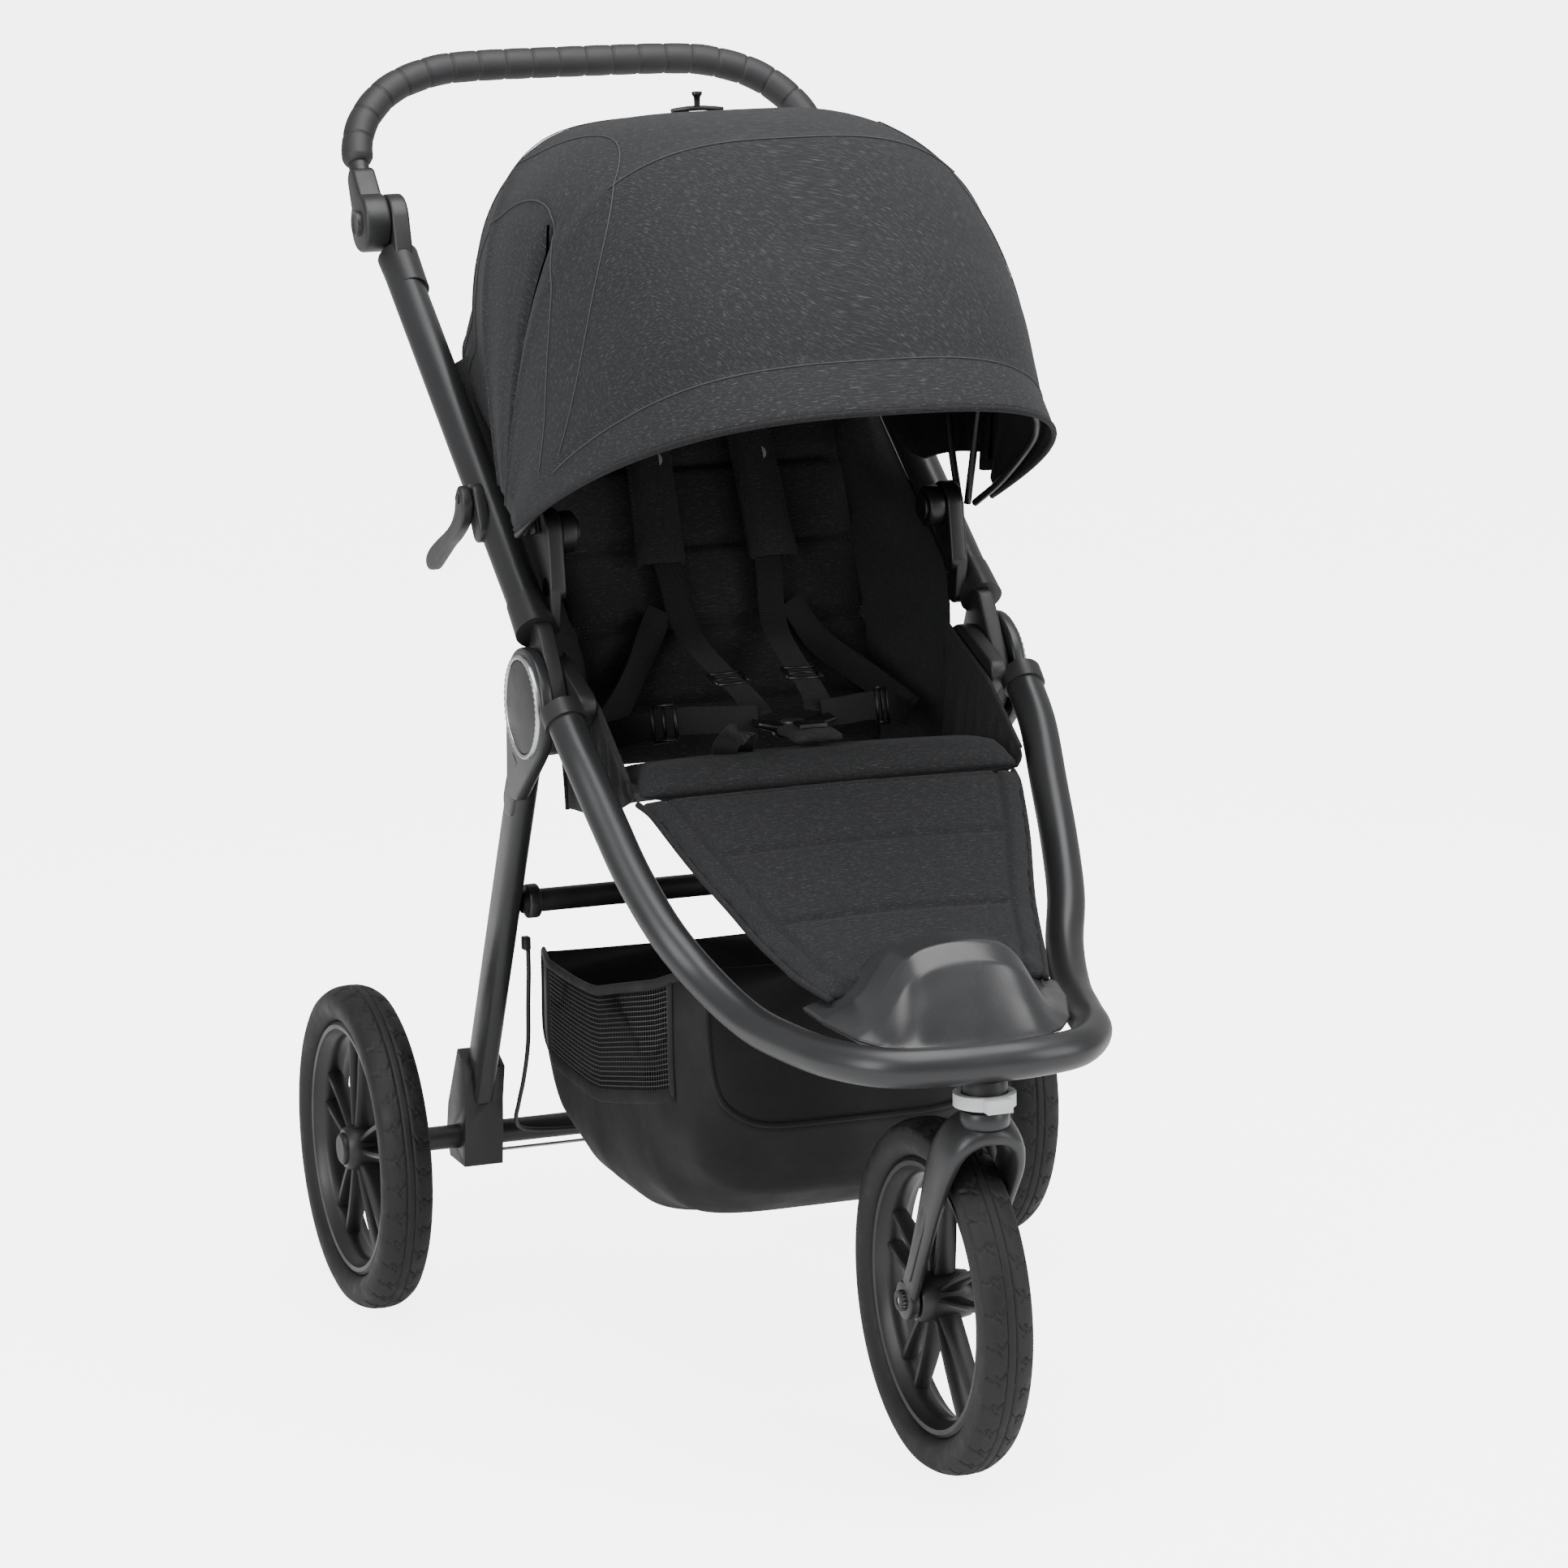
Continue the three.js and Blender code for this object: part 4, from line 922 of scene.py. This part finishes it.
def with_hood(piece):
    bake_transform(piece)
    return piece


with_hood(hood)
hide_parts("canopy_back_panel", "canopy_top_panel", "canopy_front_panel")


def on_hood(u, v, lift=0.0006):
    p = hood_place(u, v)
    step = 1e-3
    du = hood_place(min(u + step, 1), v) - hood_place(max(u - step, 0), v)
    dv = hood_place(u, min(v + step, 1)) - hood_place(u, max(v - step, 0))
    normal = du.cross(dv).normalized()
    if normal.dot(p - at(0, CANOPY[0], CANOPY[1] - 0.1)) < 0:
        normal = -normal
    return p + normal * lift


def hood_line(points, steps=60, lift=0.0006):
    flat = smooth_path([(u, v, 0) for u, v in points], steps)
    return [on_hood(p.x, p.y, lift) for p in flat]


seam_lines = [hood_line([(u / 12, 0.93 + 0.004 * math.sin(math.pi * u / 12)) for u in range(1, 12)], 90),
              hood_line([(u / 16, 0.348) for u in range(4, 13)], 60),
              hood_line([(u / 16, 0.618) for u in range(5, 12)], 50)]
for mirrored in (False, True):
    for arch in (ARCH, INNER_ARCH):
        seam_lines.append(hood_line([(1 - u if mirrored else u, v) for u, v in arch], 80))
seams = joined(*[sweep(line, 0.0006, 8) for line in seam_lines])
with_hood(make_object("canopy_seams", seams, THREAD, 0))
for tag, v_end, radius in (("brim", 1.0, 0.0026), ("tail", 0.0, 0.0022)):
    edge = [on_hood(i / 90, v_end, -0.001) for i in range(91)]
    with_hood(make_object(f"canopy_{tag}_binding", sweep(edge, radius, 12), TRIM_CLOTH, 0))
# Dark lens-shaped strips laid in the tucked slits of the canopy sides: painted shade, standing in for the shadow inside
# each groove.
slit_shade_strips = []
for mirrored in (False, True):
    line = []
    for i in range(30):
        side = mix(0.004, 0.225, i / 29)
        line.append(on_hood(1 - side if mirrored else side, slit_row(side), 0.0065))
    slit_shade_strips.append(sweep(line, lambda t: (0.0058 * (1 - t) ** 0.6 + 0.0005, 0.0012), 10,
                       across=(0, 1, 0.2)))
with_hood(make_object("canopy_side_slit_shade", joined(*slit_shade_strips), SLIT_SHADE, 0))


def bow(name, body, node, angle, lane):
    inside = [hood_point(angle, math.pi * i / 16, 0.0105) for i in range(2, 15)]
    rise = [at(s * lane, CANOPY[0] + r * math.cos(angle), CANOPY[1] + r * math.sin(angle)) for s, r in
            ((1, 0), (1, 0.07), (-1, 0.07), (-1, 0))]
    path = smooth_path(rise[:2] + inside + rise[2:], 140)
    fit(make_object(name, sweep(path, 0.0034, 14), DARK_PLASTIC, 0), body, "plastic", node)


bow("canopy_bow_front", "canopy_front", "canopy_hoop_front", HOOP_FRONT, 0.216)
bow("canopy_bow_mid", "canopy_mid", "canopy_hoop_mid", HOOP_MID, 0.2084)
bow("canopy_bow_back", "canopy_back", "canopy_hoop_back", HOOP_BACK, 0.2008)
for label, side in SIDES:
    mount = joined(
        slab(link_outline(*CANOPY, 0.022, *along(0.02, 0.022), 0.012), side * 0.181, side * 0.1966, 0.003),
        slab(disc_outline(*CANOPY, 0.0185, 40), side * 0.1655, side * 0.1815, 0.003),
        slab(disc_outline(*CANOPY, 0.013, 36), side * 0.1625, side * 0.166, 0.0015),
        slab(link_outline(*along(0.02, 0.022), 0.012, *along(0.004, -0.004), 0.010),
             side * 0.186, side * 0.1966, 0.002))
    fit(make_object(f"canopy_mount_{label}_housing", mount, DARK_PLASTIC), "upper_frame", "plastic",
        f"canopy_mount_{label}")
clip = joined(
    sweep([at(x, -0.101, 1.0985 - 0.002 * (x / 0.024) ** 2) for x in (-0.024, -0.018, -0.008, 0, 0.008, 0.018, 0.024)],
          lambda t: (0.0075 * (1 - 0.55 * abs(2 * t - 1) ** 3), 0.0022), 16, across=(0, 1, 0), power=0.7),
    sweep([at(0, -0.101, z) for z in (1.099, 1.104, 1.108, 1.111, 1.113)],
          lambda t: table(((0, 0.0032), (0.5, 0.0035), (0.75, 0.0058), (1, 0.0055)), t), 20, flat=0.8))
fit(make_object("canopy_clip_button", clip, DARK_PLASTIC, 40), "canopy_back", "plastic", "canopy_clip")

# ------------------------------------------------------------------ seat
BACK_FOOT, BACK_SLOPE = (-0.205, 0.505), 1.134
BACK_FRONT = Vector((0, -math.sin(BACK_SLOPE), math.cos(BACK_SLOPE)))
BACK_UP = Vector((0, math.cos(BACK_SLOPE), math.sin(BACK_SLOPE)))


def on_back(x, distance, depth=0.0):
    """A point on the backrest: along it from its foot, and behind its front plane."""
    return at(x, *BACK_FOOT) + BACK_UP * distance - BACK_FRONT * depth


def back_half(distance):
    return table(((0, 0.148), (0.25, 0.156), (0.42, 0.152), (0.47, 0.135)), distance)


BACK_CHANNELS = (0.075, 0.15, 0.225, 0.3, 0.375, 0.44)


def pad_between(name, surface, thickness, voxel, swell, material=None):
    """A stuffed pad whose middle surface is surface(u, v), thinner at its rim."""
    bm = bmesh.new()
    across, rows = 26, 32
    bmesh.ops.create_grid(bm, x_segments=across, y_segments=rows, size=0.5)
    spots = {v: (v.co.x + 0.5, v.co.y + 0.5) for v in bm.verts}
    normals = {}
    step = 1e-3
    for v, (a, b) in spots.items():
        du = surface(min(a + step, 1), b) - surface(max(a - step, 0), b)
        dv = surface(a, min(b + step, 1)) - surface(a, max(b - step, 0))
        normals[v] = du.cross(dv).normalized()
    front = list(bm.faces)
    made = bmesh.ops.extrude_face_region(bm, geom=front)["geom"]
    bmesh.ops.reverse_faces(bm, faces=front)
    bottom = {(round(v.co.x, 6), round(v.co.y, 6)): v for v in made if isinstance(v, bmesh.types.BMVert)}
    for v, (a, b) in spots.items():
        rim = min(min(a, 1 - a), min(b, 1 - b) * 1.3)
        roundness = min(1.0, rim / 0.05)
        half = thickness / 2 * (0.35 + 0.65 * math.sqrt(1 - (1 - roundness) ** 2))
        twin = bottom[(round(v.co.x, 6), round(v.co.y, 6))]
        p = surface(a, b)
        v.co = p - normals[v] * half
        twin.co = p + normals[v] * half
    return stuffed(name, bm, material or SEAT_CLOTH, voxel, swell)


backrest = pad_between("backrest_cushion", lambda u, v: on_back(
    mix(-1, 1, u) * (back_half(0.46 * v) - 0.004), 0.02 + 0.444 * v, 0.011), 0.017, 0.006, 0.006)


def quilt_back(p):
    local = p - at(0, *BACK_FOOT)
    distance, depth = local.dot(BACK_UP), -local.dot(BACK_FRONT)
    if depth > 0.012:
        return Vector((0, 0, 0))
    pinch = max(hump(distance - c, 0.006) for c in BACK_CHANNELS)
    fade = smoothstep((back_half(distance) - abs(p.x)) / 0.02)
    return -BACK_FRONT * (0.0075 * pinch * fade)


move_points(backrest, quilt_back)
fit(backrest, "backrest", "charcoal_cloth", "backrest_pad")
back_rows = [c + d for c in BACK_CHANNELS for d in (-0.0045, 0.0045)]
stitches("backrest_stitching",
         [[on_back(0.14, row, 0.0036), on_back(0, row, 0.0028), on_back(-0.14, row, 0.0036)] for row in back_rows],
         "backrest")


def seat_middle(u, v):
    half = table(((0, 0.16), (1, 0.176)), v)
    y = mix(-0.206, -0.416, v)
    z = table(((0, 0.515), (0.1, 0.523), (0.4, 0.544), (0.72, 0.559), (0.88, 0.562), (1, 0.549)), v)
    return at(mix(-half, half, u), y, z + 0.004 * math.sin(math.pi * u) - 0.011)


seat = pad_between("seat_cushion", seat_middle, 0.017, 0.006, 0.005)
fit(seat, "seat_base", "charcoal_cloth", "seat_pad")

CALF_HALF = ((0, 0.178), (0.1, 0.173), (0.3, 0.159), (0.55, 0.136), (0.85, 0.114), (1, 0.1))
CALF_RISE = ((0, 0.541), (0.06, 0.539), (0.12, 0.531), (0.35, 0.494), (0.62, 0.451), (0.85, 0.427), (1, 0.417))


def calf_y(v):
    return mix(-0.402, -0.65, v)


def calf_middle(u, v):
    half = table(CALF_HALF, v)
    return at(mix(-half, half, u), calf_y(v), table(CALF_RISE, v) + 0.004 * math.sin(math.pi * u) - 0.005)


calf = pad_between("calf_cushion", calf_middle, 0.012, 0.0055, 0.004)
CALF_CHANNELS = (0.085, 0.33, 0.62)


def calf_row(y):
    return (AXLE_Y - 0.402 - y) / 0.248


def quilt_calf(p):
    v = calf_row(p.y)
    half = table(CALF_HALF, v)
    top = table(CALF_RISE, v) + 0.001
    if p.z < top - 0.006:
        return Vector((0, 0, 0))
    pinch = max(hump((v - c) * 0.29, 0.0035) for c in CALF_CHANNELS) if abs(p.x) < half - 0.026 else 0.0
    border = hump(abs(p.x) - (half - 0.024), 0.0028)
    return Vector((0, 0.0012, -0.0036)) * max(pinch, border)


move_points(calf, quilt_calf)
fit(calf, "calf_support", "charcoal_cloth", "calf_pad")


def on_calf(x, v, lift=0.0035):
    u = 0.5 + x / (2 * table(CALF_HALF, v))
    return calf_middle(u, v) + Vector((0, -0.45, 0.89)) * (0.006 + lift - 0.0035)


calf_lines = [[on_calf(x * (table(CALF_HALF, c) - 0.026), c + d / 0.29, 0.0026) for x in (-1, -0.5, 0, 0.5, 1)]
              for c in CALF_CHANNELS for d in (-0.0035, 0.0035)]
for side in (-1, 1):
    for inset in (0.0205, 0.0275):
        calf_lines.append([on_calf(side * (table(CALF_HALF, v) - inset), v, 0.0022)
                           for v in (0.03, 0.2, 0.4, 0.6, 0.8, 0.95)])
stitches("calf_stitching", calf_lines, "calf_support")
for label, side in SIDES:
    edge = smooth_path([on_calf(side * (table(CALF_HALF, v / 12) - 0.0045), v / 12, -0.003) for v in range(13)], 60)
    fit(make_object(f"calf_piping_{label}", sweep(edge, 0.0028, 12), SEAT_CLOTH, 0), "calf_support", "charcoal_cloth")


# Footrest shell with its raised dome and a rounded front lip.
def footrest_place(u, v):
    x = mix(-1, 1, u)
    y = mix(-0.740, -0.630, v)
    half = table(((-0.740, 0.048), (-0.735, 0.060), (-0.720, 0.079), (-0.700, 0.094), (-0.660, 0.108),
                  (-0.630, 0.113)), y)
    dome = table(((-0.740, 0.002), (-0.735, 0.008), (-0.720, 0.034), (-0.705, 0.058), (-0.690, 0.069),
                  (-0.660, 0.064), (-0.630, 0.048)), y)
    spread = 0.45 * (1 - x * x) + 0.55 * math.exp(-((x * half / 0.064) ** 6))
    return at(x * half, y, table(((-0.740, 0.382), (-0.630, 0.402)), y) + dome * spread)


shell = make_object("footrest_shell", sheet_grid(72, 56, footrest_place, (0.2, 0.1)), SHELL, 0)
shell.data.flip_normals()
thicken(shell, 0.004)
fit(shell, "chassis", "gloss_shell", "footrest")


# ------------------------------------------------------------------ seat sides and wings
CLOTH_THICKNESS = 0.002


def side_panel(side):
    def place(u, v):
        low_y, low_z = mix(-0.226, -0.404, v), table(((0, 0.5), (0.5, 0.508), (1, 0.54)), v)
        high_y, high_z = mix(-0.236, -0.4, v), table(((0, 0.64), (0.55, 0.606), (1, 0.556)), v)
        drift = 3 * noise.noise(Vector((v * 5, side, 0)))
        gather = 0.0028 * math.sin(v * 46 + drift) * math.sin(math.pi * min(u * 1.1, 1))
        return at(side * (mix(0.176, 0.181, u) + gather), mix(low_y, high_y, u), mix(low_z, high_z, u))
    return place


def wing_panel(side):
    def place(u, v):
        back_edge = on_back(0, mix(0.0, 0.46, v), 0.0245)
        out_y, out_z = along(mix(-0.03, 0.335, v), -0.004)
        low_corner = at(side * 0.178, -0.222, 0.498)
        outer = low_corner.lerp(at(side * 0.193, out_y, out_z), smoothstep(v / 0.2))
        inner = Vector((side * (back_half(mix(0.0, 0.46, v)) - 0.03), back_edge.y, back_edge.z))
        p = inner.lerp(outer, u)
        fold = math.sin(v * 20 + 5 * u + side) * math.sin(math.pi * u) * (1 - 0.5 * v)
        belly = math.sin(math.pi * u) * 0.010
        p.x += side * (0.0045 * fold * smoothstep(v / 0.1) + belly * 0.4)
        p.y += 0.006 * fold * smoothstep(v / 0.12)
        return p
    return place


for label, side in SIDES:
    panel = make_object(f"seat_side_{label}_cloth", sheet_grid(20, 120, side_panel(side), (0.14, 0.19)), SEAT_CLOTH, 0)
    thicken(panel, CLOTH_THICKNESS)
    fit(panel, "chassis", "charcoal_cloth", f"seat_side_{label}")
    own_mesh(panel)
    hem = smooth_path([side_panel(side)(1.0, i / 24) for i in range(25)], 60)
    hem_piece = make_object(f"seat_side_{label}_hem", sweep(hem, 0.0022, 10), SEAT_CLOTH, 0)
    fit(hem_piece, "chassis", "charcoal_cloth")
    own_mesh(hem_piece)
    wing = make_object(f"seat_wing_{label}_cloth", sheet_grid(40, 90, wing_panel(side), (0.06, 0.44)), SEAT_CLOTH, 0)
    thicken(wing, CLOTH_THICKNESS)
    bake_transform(wing)
    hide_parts(f"seat_wing_{label}")

# ------------------------------------------------------------------ harness
PAD_X = 0.05
BUCKLE = (-0.318, 0.575)


def band(path, width, thickness, across):
    return sweep(path, (width / 2, thickness / 2), 12, across=across, power=0.35)


def shoulder_middle(side):
    def place(u, v):
        x = side * mix(PAD_X + 0.004, PAD_X - 0.004, v) + mix(-0.024, 0.024, u)
        bulge = 0.005 * math.sin(math.pi * u)
        crease = 0.0025 * hump(v - 0.8, 0.05) + 0.002 * hump(v - 0.68, 0.04)
        return on_back(x, mix(0.2, 0.395, v), -0.0155 - bulge + crease)
    return place


for label, side in SIDES:
    pad = pad_between(f"shoulder_pad_{label}_cover", shoulder_middle(side), 0.009, 0.0035, 0.003, SEAT_CLOTH)
    fit(pad, "backrest", "charcoal_cloth", f"shoulder_pad_{label}")
    place = shoulder_middle(side)
    hems = [[place(u, v) + BACK_FRONT * 0.0035 for u, v in points] for points in
            (((0.07, 0.03), (0.07, 0.5), (0.07, 0.95)), ((0.93, 0.95), (0.93, 0.5), (0.93, 0.03)),
             ((0.07, 0.03), (0.5, 0.02), (0.93, 0.03)))]
    stitches(f"shoulder_pad_{label}_stitching", hems, "backrest")
    leaf = slab([(0.006 * math.cos(a) * (1 + 0.25 * math.cos(a)), 0.0075 * math.sin(a)) for a in
                 [2 * math.pi * i / 28 for i in range(28)]], -0.0006, 0.0006, 0.0003, 2)
    turn = Matrix((BACK_FRONT, Vector((1, 0, 0)), BACK_FRONT.cross(Vector((1, 0, 0))))).transposed().to_4x4()
    bmesh.ops.transform(leaf, verts=leaf.verts, matrix=Matrix.Translation(
        place(0.55, 0.5) + BACK_FRONT * 0.0065) @ turn @ Matrix.Translation(-at(0, 0, 0)))
    fit(make_object(f"shoulder_tab_{label}", leaf, WOVEN_TAB), "backrest", "webbing")
    strap_path = smooth_path([at(side * 0.027, -0.309, 0.5845), at(side * 0.031, -0.29, 0.598),
                              on_back(side * 0.041, 0.13, -0.026),
                              on_back(side * 0.047, 0.19, -0.0165), on_back(side * 0.05, 0.24, -0.013),
                              on_back(side * 0.05, 0.33, -0.0125), on_back(side * 0.05, 0.4, -0.011),
                              on_back(side * 0.05, 0.452, -0.004)], 90)
    waist_path = smooth_path([at(side * 0.03, -0.312, 0.583), at(side * 0.052, -0.307, 0.583),
                              at(side * 0.085, -0.286, 0.581),
                              at(side * 0.118, -0.256, 0.573), at(side * 0.146, -0.228, 0.56)], 60)
    rise_path = smooth_path([at(side * 0.148, -0.231, 0.564), at(side * 0.118, -0.208, 0.59),
                             on_back(side * 0.085, 0.12, -0.014),
                             on_back(side * 0.062, 0.16, -0.0165)], 50)
    webbing = joined(band(strap_path, 0.025, 0.0016, (1, 0, 0)), band(waist_path, 0.025, 0.0016, (0, 0.25, 0.97)),
                     band(rise_path, 0.025, 0.0016, (side * 0.3, 0.3, 0.9)))
    piece = fit(make_object(f"harness_webbing_{label}", webbing, WEBBING, 40), "upper_frame", "webbing",
                f"harness_strap_{label}")
    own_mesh(piece)
    for tag, path, place_at, across in (("shoulder", strap_path, 12, Vector((1, 0, 0))),
                                        ("waist", waist_path, 34, Vector((0, 0.25, 0.97)))):
        p, q = path[place_at], path[place_at + 1]
        along_strap = (q - p).normalized()
        across = (across - along_strap * across.dot(along_strap)).normalized()
        out = along_strap.cross(across)
        if out.dot(Vector((0, -1, 0.4))) < 0:
            out = -out
        frame_points = [p + across * a * 0.0155 + along_strap * b * 0.011 + out * 0.0012
                        for a, b in ((-1, -1), (1, -1), (1, 1), (-1, 1), (-1, -1))]
        bars = [sweep([a, a.lerp(b, 0.5), b], 0.0017, 10) for a, b in zip(frame_points, frame_points[1:])]
        bars.append(sweep([p + across * -0.0155, p + out * 0.002, p + across * 0.0155], 0.0015, 10))
        slider = fit(make_object(f"{tag}_slider_{label}", joined(*bars), DARK_PLASTIC, 0), "upper_frame", "plastic")
        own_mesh(slider)

buckle_parts = [puck(0.017, 0.019, 0.008, 0.0025, 3, 48, 0.571)]
for side in (-1, 1):
    prong = sweep([at(side * x, BUCKLE[0] + 0.002, BUCKLE[1] + dz)
                   for x, dz in ((0.012, 0), (0.022, 0.0015), (0.03, 0.004), (0.036, 0.006))],
                  lambda t: (mix(0.0125, 0.0145, t), mix(0.004, 0.0028, t)), 16, across=(0, 1, 0), power=0.6)
    buckle_parts.append(prong)
fit(make_object("buckle_housing", joined(*buckle_parts), DARK_PLASTIC, 40), "upper_frame", "plastic", "harness_buckle")
press = puck(0.0108, 0.0106, 0.0036, 0.001, 2, 40, 0.5793)
fit(make_object("buckle_press", press, BUTTON_PLASTIC), "buckle_release", "grey_plastic", "buckle_button")


def crotch_middle(u, v):
    return at(mix(-0.024, 0.024, u), mix(-0.336, -0.384, v), table(((0, 0.5755), (0.6, 0.5755), (1, 0.5735)), v)
              + 0.003 * math.sin(math.pi * u))


crotch = pad_between("crotch_pad", crotch_middle, 0.007, 0.0035, 0.0025)
fit(crotch, "seat_base", "charcoal_cloth", "crotch_strap")
clip_plate = slab([(-0.352, 0.5865), (-0.37, 0.586), (-0.37, 0.583), (-0.352, 0.5835)], -0.013, 0.013, 0.0008, 2)
fit(make_object("crotch_clip", clip_plate, DARK_PLASTIC), "seat_base", "plastic")
loop_path = smooth_path([at(-0.075, -0.352, 0.556), at(-0.083, -0.372, 0.572), at(-0.084, -0.392, 0.584),
                         at(-0.077, -0.398, 0.59), at(-0.07, -0.388, 0.586), at(-0.066, -0.368, 0.574),
                         at(-0.062, -0.35, 0.556)], 60)
fit(make_object("pull_loop", band(loop_path, 0.022, 0.0016, (0.75, -0.5, -0.1)), WEBBING, 40), "seat_base", "webbing")

# ------------------------------------------------------------------ basket
BASKET_BACK, BASKET_FRONT = -0.066, -0.47
BASKET_TOP = ((0, 0.335), (0.2, 0.343), (0.5, 0.356), (0.8, 0.382), (1, 0.405))
BASKET_BOTTOM = ((0, 0.2), (0.12, 0.165), (0.3, 0.142), (0.55, 0.14), (0.75, 0.155), (0.9, 0.19), (1, 0.26))
BASKET_THICKNESS, BASKET_POWER = 0.0016, 0.42
BASKET_HALF = ((0, 0.152), (0.15, 0.165), (0.45, 0.17), (0.75, 0.162), (1, 0.14))


def basket_rim(v):
    return table(BASKET_TOP, v) - 0.012 * math.sin(math.pi * v)


def basket_place(u, v):
    """Across from one top edge round the bottom to the other, and from the back to the front."""
    y = mix(BASKET_BACK, BASKET_FRONT, v)
    half = table(BASKET_HALF, v)
    top = basket_rim(v)
    bottom = table(BASKET_BOTTOM, v)
    t = math.pi * u
    c, s = math.cos(t), math.sin(t)
    sag = 0.0035 * noise.noise(Vector((6 * u, 5 * v, 0.4)))
    sag += 0.002 * math.sin(26 * v + 4 * u) * smoothstep((s - 0.2) / 0.5)
    x = (half + sag) * math.copysign(abs(c) ** BASKET_POWER, c)
    return at(x, y, top - (top - bottom) * abs(s) ** BASKET_POWER + sag)


basket_bm = sheet_grid(140, 84, basket_place, (0.7, 0.42))
window_faces = []
for face in basket_bm.faces:
    c = face.calc_center_median()
    v = (AXLE_Y + BASKET_BACK - c.y) / (BASKET_BACK - BASKET_FRONT)
    top = basket_rim(v)
    if abs(c.x) > 0.09 and 0.14 < v < 0.86 and c.z > top - 0.085 - 0.02 * v:
        window_faces.append(face)
bmesh.ops.delete(basket_bm, geom=window_faces, context="FACES")
basket = make_object("basket_shell", basket_bm, BASKET_CLOTH, 0)
thicken(basket, BASKET_THICKNESS)
fit(basket, "chassis", "black_cloth", "basket")


def end_wall(v_end):
    def place(u, w):
        rim = basket_place(u, v_end)
        lid = table(BASKET_TOP, v_end) - 0.004
        bulge = 0.012 * math.sin(math.pi * w) * math.sin(math.pi * u) * (-1 if v_end else 1)
        p = rim.lerp(Vector((rim.x * (1 - w), rim.y, lid)), w)
        p.y += bulge
        return p
    return place


for tag, v_end in (("back", 0.0), ("front", 1.0)):
    wall = make_object(f"basket_{tag}_wall", sheet_grid(60, 16, end_wall(v_end), (0.5, 0.15)), BASKET_CLOTH, 0)
    thicken(wall, BASKET_THICKNESS)
    fit(wall, "chassis", "black_cloth")
bindings = []
for u in (0.0, 1.0):
    bindings.append(sweep([basket_place(u, i / 40) for i in range(41)], (0.0026, 0.0045), 12, across=(1, 0, 0)))
for v_end in (0.0, 1.0):
    bindings.append(sweep([basket_place(i / 80, v_end) for i in range(81)], 0.0028, 12))
fit(make_object("basket_bindings", joined(*bindings), BASKET_CLOTH, 0), "chassis", "black_cloth")



def window_point(side, v, w):
    """On the netted window of the basket's side: v from the back to the front, w from the rim down."""
    drop = w * (0.085 + 0.02 * v) / (basket_rim(v) - table(BASKET_BOTTOM, v))
    u = math.asin(drop ** (1 / BASKET_POWER)) / math.pi
    return basket_place(u if side > 0 else 1 - u, v)


net_parts, window_edges = [], []
for side in (-1, 1):
    net = bmesh.new()
    bmesh.ops.create_grid(net, x_segments=24, y_segments=78, size=0.5)
    for v in net.verts:
        v.co = window_point(side, mix(0.135, 0.865, v.co.y + 0.5), mix(0.0, 1.08, v.co.x + 0.5))
    bmesh.ops.wireframe(net, faces=net.faces[:], thickness=0.0009, use_replace=True, use_boundary=True,
                        use_even_offset=False)
    net_parts.append(net)
    for path in ([window_point(side, mix(0.13, 0.87, i / 30), 1.0) for i in range(31)],
                 [window_point(side, 0.14, i / 12) for i in range(13)],
                 [window_point(side, 0.86, i / 12) for i in range(13)]):
        window_edges.append(sweep(path, (0.0062, 0.0018), 12, across=(0, 0.1, 1) if len(path) > 20 else (0, 1, 0)))
fit(make_object("basket_window_bindings", joined(*window_edges), BASKET_CLOTH, 0), "chassis", "black_cloth")
fit(make_object("basket_net", joined(*net_parts), NET_YARN, 0), "chassis", "black_cloth")
